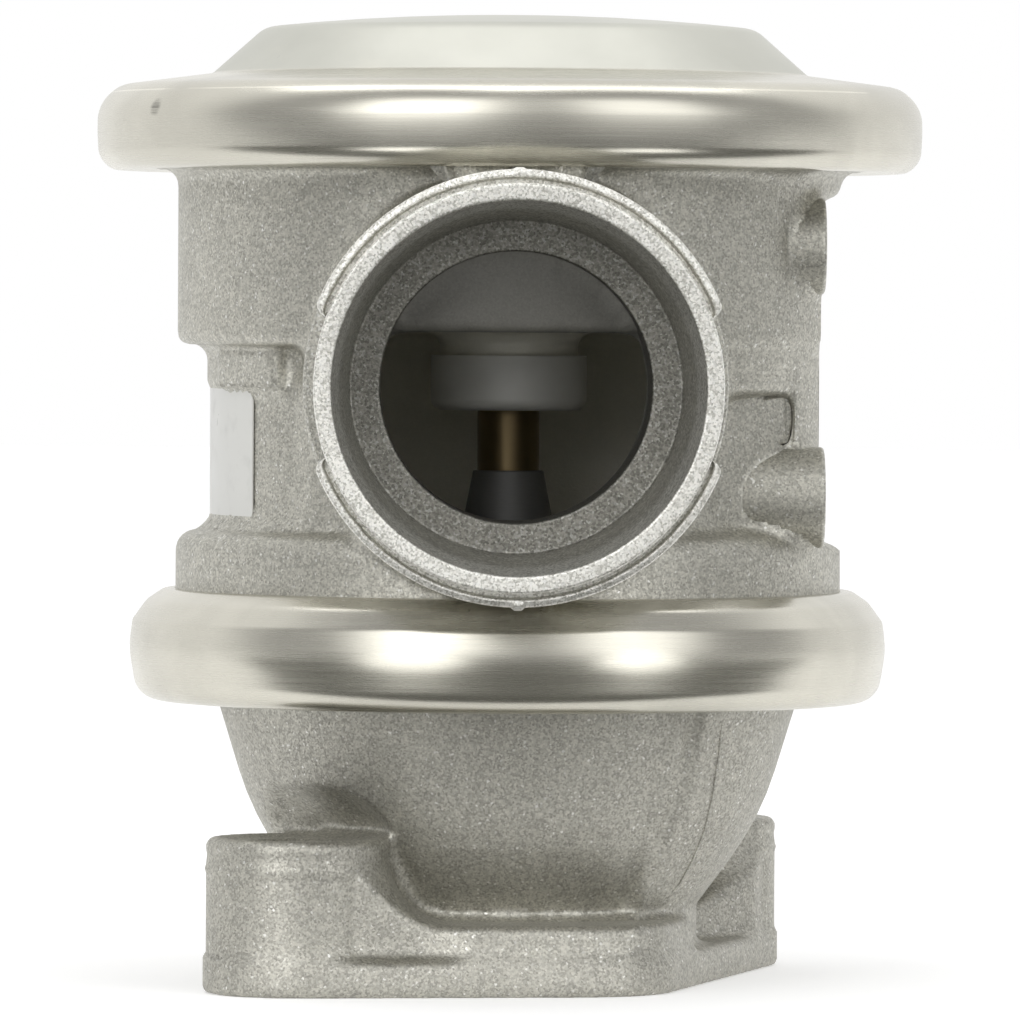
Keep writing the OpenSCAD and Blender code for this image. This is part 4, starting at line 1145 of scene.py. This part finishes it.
class VALVE_OT_label(bpy.types.Operator):
    """Puts the bare label round the left of the waist"""

    bl_idname = "valve.label"
    bl_label = "Bare label"

    def execute(self, context):
        size = form()
        radius, thick, round_off, base = 24.94, 0.12, 1.2, 38.3
        width, height = size.label_width / MM, size.label_height / MM
        front = math.radians(-90 - 58.7)
        ends = [round_off * (1 - math.cos(a)) for a in np.linspace(0, math.pi / 2, 8)]
        columns = sorted({*ends, *np.linspace(round_off, width - round_off, 40), *(width - u for u in ends)})
        rows = 12
        rings = []
        for u in columns:
            inset = max(0.0, round_off - min(u, width - u))
            cut = round_off - math.sqrt(max(0.0, round_off ** 2 - inset ** 2))
            low, high = base + cut, base + height - cut
            rings.append([(u, low + (high - low) * k / rows) for k in range(rows + 1)])
        points, faces = [], []

        def spot(u, z, r):
            turn = front - u / radius
            return (r * math.cos(turn), r * math.sin(turn), z)

        for r in (radius, radius + thick):
            points += [spot(u, z, r) for ring in rings for u, z in ring]
        per, shell = rows + 1, len(columns) * (rows + 1)
        for i in range(len(columns) - 1):
            for k in range(rows):
                a = i * per + k
                quad = (a, a + 1, a + per + 1, a + per)
                faces += [quad, tuple(q + shell for q in reversed(quad))]
        last = len(columns) - 1
        rim = [*(i * per for i in range(last + 1)), *(last * per + k for k in range(1, per)),
               *(i * per + rows for i in range(last - 1, -1, -1)), *range(rows - 1, 0, -1)]
        for a, b in zip(rim, rim[1:] + rim[:1]):
            faces.append((a, b, b + shell, a + shell))
        obj = mesh_object("label_plate", points, faces, label_material(), 50)
        place(obj, FIXED, "cast_aluminium")
        return {"FINISHED"}


class VALVE_OT_nipple(bpy.types.Operator):
    """Turns the spigot for the vacuum hose"""

    bl_idname = "valve.nipple"
    bl_label = "Vacuum nipple"

    def execute(self, context):
        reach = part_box("vacuum_nipple")[1].y / MM
        section = rounded([
            (1.2, 25.6, 0), (2.4, 25.6, 0), (2.4, reach - 5, 0.3), (2.9, reach - 4, 0.3),
            (2.9, reach - 2.6, 0.4), (2.0, reach, 0.2), (1.2, reach, 0.15)])
        brass = turned_material("finish_brass", finish().brass, 0.26, 0.5)
        obj = spun("vacuum_nipple_brass", close_steps(section, 1.0), brass, 96)
        moved_to(obj, ((1, 0, 0), (0, 0, 1), (0, -1, 0)), (0, 0, NIPPLE_HEIGHT * MM))
        tidy(obj.data)
        place(obj, FIXED, "brass", "vacuum_nipple")
        return {"FINISHED"}


class VALVE_OT_springs(bpy.types.Operator):
    """Winds the return spring and the check spring"""

    bl_idname = "valve.springs"
    bl_label = "Coil springs"

    def execute(self, context):
        size = form()
        steel = turned_material("finish_spring", finish().spring, 0.35, 0.4)
        for name, node, joint, radius, thick, turns, keep in (
                ("return_spring_wire", "return_spring", "valve_stroke",
                 size.spring_radius, size.spring_wire, size.spring_turns, 0.69),
                ("check_spring_wire", "check_spring", "check_stroke",
                 size.light_radius, size.light_wire, size.light_turns, 0.46)):
            low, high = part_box(node)
            obj = grow(name, coil_tree("Coil spring"), {
                "Radius": radius, "Wire": thick, "Turns": turns, "Length": high.z - low.z, "Foot": low.z,
                "Steps": 72, "Finish": steel})
            tidy(obj.data)
            place(obj, FIXED, "spring_steel", node)
            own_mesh(obj)
        return {"FINISHED"}


class VALVE_OT_diaphragm(bpy.types.Operator):
    """Moulds the rolling diaphragm and the rubber seals"""

    bl_idname = "valve.diaphragm"
    bl_label = "Diaphragm and seals"

    def execute(self, context):
        rubber = rubber_material()
        middle, clamp = top("diaphragm_plate_lower"), top("housing")
        inner, outer = 21.3, 25.1
        loop, bend = middle - 6.4, 1.9
        section = sheet([
            (2.05, middle, 0), (inner, middle, 1.2), (inner, loop, bend), (outer, loop, bend),
            (outer, clamp + 0.01, 1), (31.45, clamp + 0.01, 0)], 0.88)
        split = (inner + outer) / 2
        moving = [p for p in section if p[0] <= split]
        still = [p for p in section if p[0] > split]
        disc = spun("diaphragm_disc", close_steps(moving, 0.5), rubber, 192)
        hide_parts("diaphragm")
        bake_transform(disc)
        place(spun("diaphragm_flange", close_steps(still, 0.5), rubber, 192), FIXED, "black_rubber")

        cord, ring_radius = 0.85, 24.5
        ring_z = foot("joint_gasket") + cord
        turns = [FULL_TURN * i / 32 for i in range(32)]
        ring = [(ring_radius + cord * math.cos(turn), ring_z + cord * math.sin(turn)) for turn in turns]
        place(spun("joint_ring_rubber", ring, rubber, 192), FIXED, "black_rubber", "joint_gasket")
        low, high = foot("stem_seal"), top("stem_seal")
        lip = rounded([(2.65, low + 0.9, 0.15), (3.25, low, 0.2), (5.6, low, 0.25), (5.6, high, 0.2),
                       (3.65, high, 0.2)])
        place(spun("stem_seal_rubber", lip, rubber, 96), FIXED, "black_rubber", "stem_seal")
        low, high, rim = foot("poppet_seal"), top("poppet_seal"), wide("poppet_seal")
        face = rounded([(2.05, low, 0), (rim, low, 0.35), (rim, high, 0.35), (2.05, high, 0)])
        turned_piece("poppet_seal_rubber", "poppet_seal", face, 1.0, 160, rubber, "black_rubber", MOVING)
        return {"FINISHED"}


class VALVE_OT_fittings(bpy.types.Operator):
    """Turns the stem, poppet, plates, bush and retainer, and finishes the small plates and nuts"""

    bl_idname = "valve.fittings"
    bl_label = "Stem, poppet and fittings"

    def execute(self, context):
        tones = finish()
        plated = turned_material("finish_plated", tones.plated, 0.32, 0.6)
        # Painted light: the retainer's plated steel is lifted to 1.15 times its colour, in place of light
        # deep in the port.
        lifted_retainer_steel = turned_material("finish_retainer", shade(tones.plated, 1.15), 0.6, 0.3, 0.35)
        # Painted shade: the poppet's turned aluminium is darkened to 0.4 of its colour.
        shaded_poppet_aluminium = turned_material("finish_turned", shade(tones.turned, 0.4), 0.6, 0.4, 0.7)
        # Painted shade: the stem's brass is darkened to 0.36 of its colour.
        shaded_stem_brass = turned_material("finish_stem", shade(tones.brass, 0.36), 0.4, 0.5)
        bronze = turned_material("finish_bronze", tones.bronze, 0.4, 0.4)
        low, high, hub, seat = foot("stem"), top("stem"), foot("poppet"), top("poppet")
        neck, flange = top("diaphragm_plate_lower") - 1, hub + 1.2
        turned_piece("stem_brass", "stem", rounded([
            (0, low, 0), (2.0, low, 0.3), (2.0, flange, 0), (2.6, flange, 0.1), (2.6, neck, 0.1),
            (2.0, neck, 0), (2.0, high - 0.4, 0.1), (1.6, high, 0.1), (0, high, 0)]),
            1.5, 128, shaded_stem_brass, "brass", MOVING)
        turned_piece("poppet_hub", "poppet", rounded([
            (2.05, hub, 0), (9.5, hub, 0.2), (9.5, flange, 0.4), (4.2, flange, 0.8), (2.95, seat, 0.15),
            (2.65, seat, 0), (2.65, flange, 0), (2.05, flange, 0)]),
            1.0, 160, shaded_poppet_aluminium, "turned_aluminium", MOVING)
        low, high = foot("seal_retainer"), top("seal_retainer")
        turned_piece("seal_retainer_cup", "seal_retainer", sheet(
            [(3.4, low, 0), (6.55, low, 1.0), (6.55, high, 0)], 0.7), 0.8, 160, lifted_retainer_steel, "plated_steel")
        low, high = foot("guide_bush"), top("guide_bush")
        turned_piece("guide_bush_bronze", "guide_bush", rounded(
            [(2.65, low, 0.15), (4.2, low, 0.15), (4.2, high, 0.15), (2.65, high, 0.15)]),
            1.5, 96, bronze, "bronze")
        low, high = foot("spring_seat"), top("spring_seat")
        turned_piece("spring_seat_washer", "spring_seat", sheet(
            [(5.85, low, 0), (19.6, low, 1.2), (19.6, high, 0)], 0.8), 1.0, 160, plated, "plated_steel")
        low = foot("diaphragm_plate_upper")
        turned_piece("upper_plate", "diaphragm_plate_upper", sheet(
            [(2.05, low, 0), (18.6, low, 1.0), (19.4, low + 0.8, 0)], 1.0),
            1.5, 160, plated, "plated_steel", MOVING)
        low = foot("diaphragm_plate_lower")
        turned_piece("lower_plate_cup", "diaphragm_plate_lower", sheet(
            [(2.05, neck, 0), (20.0, neck, 0.6), (20.0, low, 0)], 0.98),
            1.5, 160, plated, "plated_steel", MOVING)
        low, high, rim = foot("poppet_plate"), top("poppet_plate"), wide("poppet_plate")
        turned_piece("poppet_backing", "poppet_plate", rounded([
            (2.05, low, 0), (5, low, 0.3), (5, low + 0.8, 0), (rim, low + 0.8, 0.4), (rim, high, 0.1),
            (2.05, high, 0)]), 1.0, 160, plated, "plated_steel", MOVING)
        low, high = foot("check_pin"), top("check_pin")
        turned_piece("check_rivet", "check_pin", rounded([
            (0, low, 0), (2.5, low, 0.3), (2.5, low + 0.8, 0.1), (1.5, low + 0.8, 0), (1.5, high - 0.8, 0),
            (3.1, high - 0.8, 0.1), (2.5, high, 0.3), (0, high, 0)]), 1.0, 96, plated, "plated_steel")
        low, high = foot("check_disc"), top("check_disc")
        turned_piece("check_disc_plate", "check_disc", rounded(
            [(1.55, low, 0), (13, low, 0.2), (13, high, 0.2), (1.55, high, 0)]),
            1.5, 160, plated, "plated_steel", "check_disc")
        for node, body in (("stem_nut", MOVING), ("poppet_nut", MOVING), ("check_plate", FIXED),
                           ("check_retainer", FIXED)):
            place(copied(node + "_steel", node, plated), body, "plated_steel", node)
        return {"FINISHED"}


class VALVE_OT_stage(bpy.types.Operator):
    """Sets up the camera, the pale floor and the studio lamps"""

    bl_idname = "valve.stage"
    bl_label = "Stage"

    def execute(self, context):
        context.scene.view_settings.view_transform = "Standard"
        plan = stage()
        self.camera(context, plan)
        self.floor(plan)
        self.black_card()
        self.surroundings(context, plan)
        for side in (-1, 1):
            self.lamp(f"strip_{side}", (side * 0.12, 0.03, 0.56), (side * 0.008, -0.033, 0.074),
                      0.1, 0.36, plan.strip_power)
        for name, spot, wide_by in (("card_left", (-0.0505, -0.1035, 0.019), 0.056),
                                    ("card_right", (0.066, -0.0965, 0.019), 0.046)):
            self.lamp(name, spot, (0, 0, 0.028), wide_by, 0.036, plan.card_power, "ELLIPSE")
        return {"FINISHED"}

    def camera(self, context, plan):
        """A long lens at the picture's angle."""
        data = bpy.data.cameras.new("camera")
        data.lens, data.sensor_width = plan.lens, 36
        data.clip_start, data.clip_end = 0.05, 20
        obj = linked("camera", data)
        back = Vector((math.sin(plan.azimuth) * math.cos(plan.elevation),
                       -math.cos(plan.azimuth) * math.cos(plan.elevation), math.sin(plan.elevation)))
        obj.location = Vector(plan.aim) + back * plan.distance
        turn = (-back).to_track_quat("-Z", "Y").to_matrix().to_4x4()
        obj.rotation_euler = turn.to_euler()
        obj.rotation_euler.rotate_axis("Z", plan.roll)
        context.scene.camera = obj

    def sheet_on_floor(self, name, outline, height, colour):
        """A dull level sheet for the stage, and its shader."""
        mesh = bpy.data.meshes.new(name)
        mesh.from_pydata([(x, y, height) for x, y in outline], [], [range(len(outline))])
        material, _, shader = blank_material(name)
        wire(shader, {"Base Color": (*colour, 1), "Roughness": 0.9})
        mesh.materials.append(material)
        return linked(name, mesh), shader

    def rays(self, tree):
        """Whether a ray comes from the camera, from a mirror or through glass."""
        found = add(tree, "ShaderNodeLightPath").outputs
        return [Value(found[key]) for key in ("Is Camera Ray", "Is Glossy Ray", "Is Transmission Ray")]

    def floor(self, plan):
        """A pale floor that reads white and keeps the shadow."""
        near, far = -0.34, 3.0
        outline = [(-far, near), (far, near), (far, far), (-far, far)]
        obj, shader = self.sheet_on_floor("floor", outline, 0, plan.floor_colour)
        camera, glossy, through = self.rays(shader.id_data)
        wire(shader, {"Specular IOR Level": 0.0, "Emission Color": (1, 1, 1, 1),
                      "Emission Strength": camera.do("MAXIMUM", glossy.do("MAXIMUM", through)) * 0.35})

    def surroundings(self, context, plan):
        """A white studio that is darker behind the camera; mirrors see its white half as the camera does."""
        world = bpy.data.worlds.new("studio")
        context.scene.world = world
        world.use_nodes = True
        tree = world.node_tree
        tree.nodes.clear()
        x, y, z = parts(tree, add(tree, "ShaderNodeTexCoord").outputs["Generated"])
        turn = x.do("ARCTAN2", y * -1.0)
        front = (y - x * 0.12).ramp(-0.12, 0.47, 1.0, 0.0)
        dark = (front * z.ramp(-0.1, 0.1, 0.68, 0.5)).do("MAXIMUM", z.ramp(0.65, 0.85, 0.0, 0.25))
        above = z.ramp(-0.04, 0.18)
        facing = turn.do("ABSOLUTE").ramp(0.1, 0.4, 0.2, 0.0) * above
        boxes = self.soft_box(turn, -0.47, 1.32) + self.soft_box(turn, 0.68, 0.85)
        boxes = boxes * (above * z.ramp(0.7, 0.9, 1.0, 0.0))
        lit = 0.92 - dark + (facing + boxes * plan.key_power)
        camera, glossy, through = self.rays(tree)
        seen = camera.do("MAXIMUM", glossy * (1.0 - front)).do("MAXIMUM", through)
        strength = lit * (1.0 - seen) + seen
        sky = add(tree, "ShaderNodeBackground", {"Color": (1, 1, 1, 1), "Strength": strength})
        add(tree, "ShaderNodeOutputWorld", {"Surface": sky})

    def soft_box(self, turn, centre, share):
        """The light of a tall soft box that stands at an angle round the valve."""
        return (turn - centre).do("ABSOLUTE").ramp(0.15, 0.5, share, 0.0)

    def black_card(self):
        """A dark card on the floor in front, seen by mirrors only, that keeps the rims' contrast."""
        outline = [(-0.4, -0.34), (0.4, -0.34), (0.4, 0.06), (0.042, -0.04), (-0.042, -0.04), (-0.4, -0.02)]
        obj, _ = self.sheet_on_floor("black_card", outline, 0.001, (0.12, 0.12, 0.11))
        obj.visible_camera = obj.visible_diffuse = obj.visible_shadow = obj.visible_transmission = False

    def lamp(self, name, spot, target, wide_by, long_by, radiance, outline="RECTANGLE"):
        """A soft lamp of a given radiance that the camera doesn't see."""
        data = bpy.data.lights.new(name, "AREA")
        data.shape = outline
        data.size, data.size_y = wide_by, long_by
        data.energy = radiance * math.pi * wide_by * long_by * (math.pi / 4 if outline == "ELLIPSE" else 1)
        obj = linked(name, data)
        obj.location = spot
        obj.rotation_euler = (Vector(target) - Vector(spot)).to_track_quat("-Z", "Y").to_euler()
        obj.visible_camera = False


class VALVE_PT_pieces(bpy.types.Panel):
    """Lists the valve's pieces in the sidebar"""

    bl_idname = "VALVE_PT_pieces"
    bl_label = "Air Bypass Valve"
    bl_space_type = "VIEW_3D"
    bl_region_type = "UI"
    bl_category = "Valve"

    def draw(self, context):
        for step in STEPS:
            self.layout.operator(step.bl_idname)
        for group in (context.scene.valve_form, context.scene.valve_finish, context.scene.valve_stage):
            box = self.layout.box()
            for key in group.bl_rna.properties.keys():
                if key not in ("rna_type", "name"):
                    box.prop(group, key)


STEPS = (VALVE_OT_cover, VALVE_OT_crimp_ring, VALVE_OT_housing, VALVE_OT_lower_body, VALVE_OT_label,
         VALVE_OT_nipple, VALVE_OT_springs, VALVE_OT_diaphragm, VALVE_OT_fittings, VALVE_OT_stage)
CLASSES = (ValveForm, ValveFinish, ValveStage, *STEPS, VALVE_PT_pieces)


def register():
    for made in CLASSES:
        bpy.utils.register_class(made)
    bpy.types.Scene.valve_form = PointerProperty(type=ValveForm)
    bpy.types.Scene.valve_finish = PointerProperty(type=ValveFinish)
    bpy.types.Scene.valve_stage = PointerProperty(type=ValveStage)


def unregister():
    del bpy.types.Scene.valve_stage
    del bpy.types.Scene.valve_finish
    del bpy.types.Scene.valve_form
    for made in reversed(CLASSES):
        bpy.utils.unregister_class(made)


def main():
    """Makes every piece in order."""
    register()
    bpy.ops.valve.cover()
    bpy.ops.valve.crimp_ring()
    bpy.ops.valve.housing()
    bpy.ops.valve.lower_body()
    bpy.ops.valve.label()
    bpy.ops.valve.nipple()
    bpy.ops.valve.springs()
    bpy.ops.valve.diaphragm()
    bpy.ops.valve.fittings()
    bpy.ops.valve.stage()


if __name__ == "__main__":
    main()
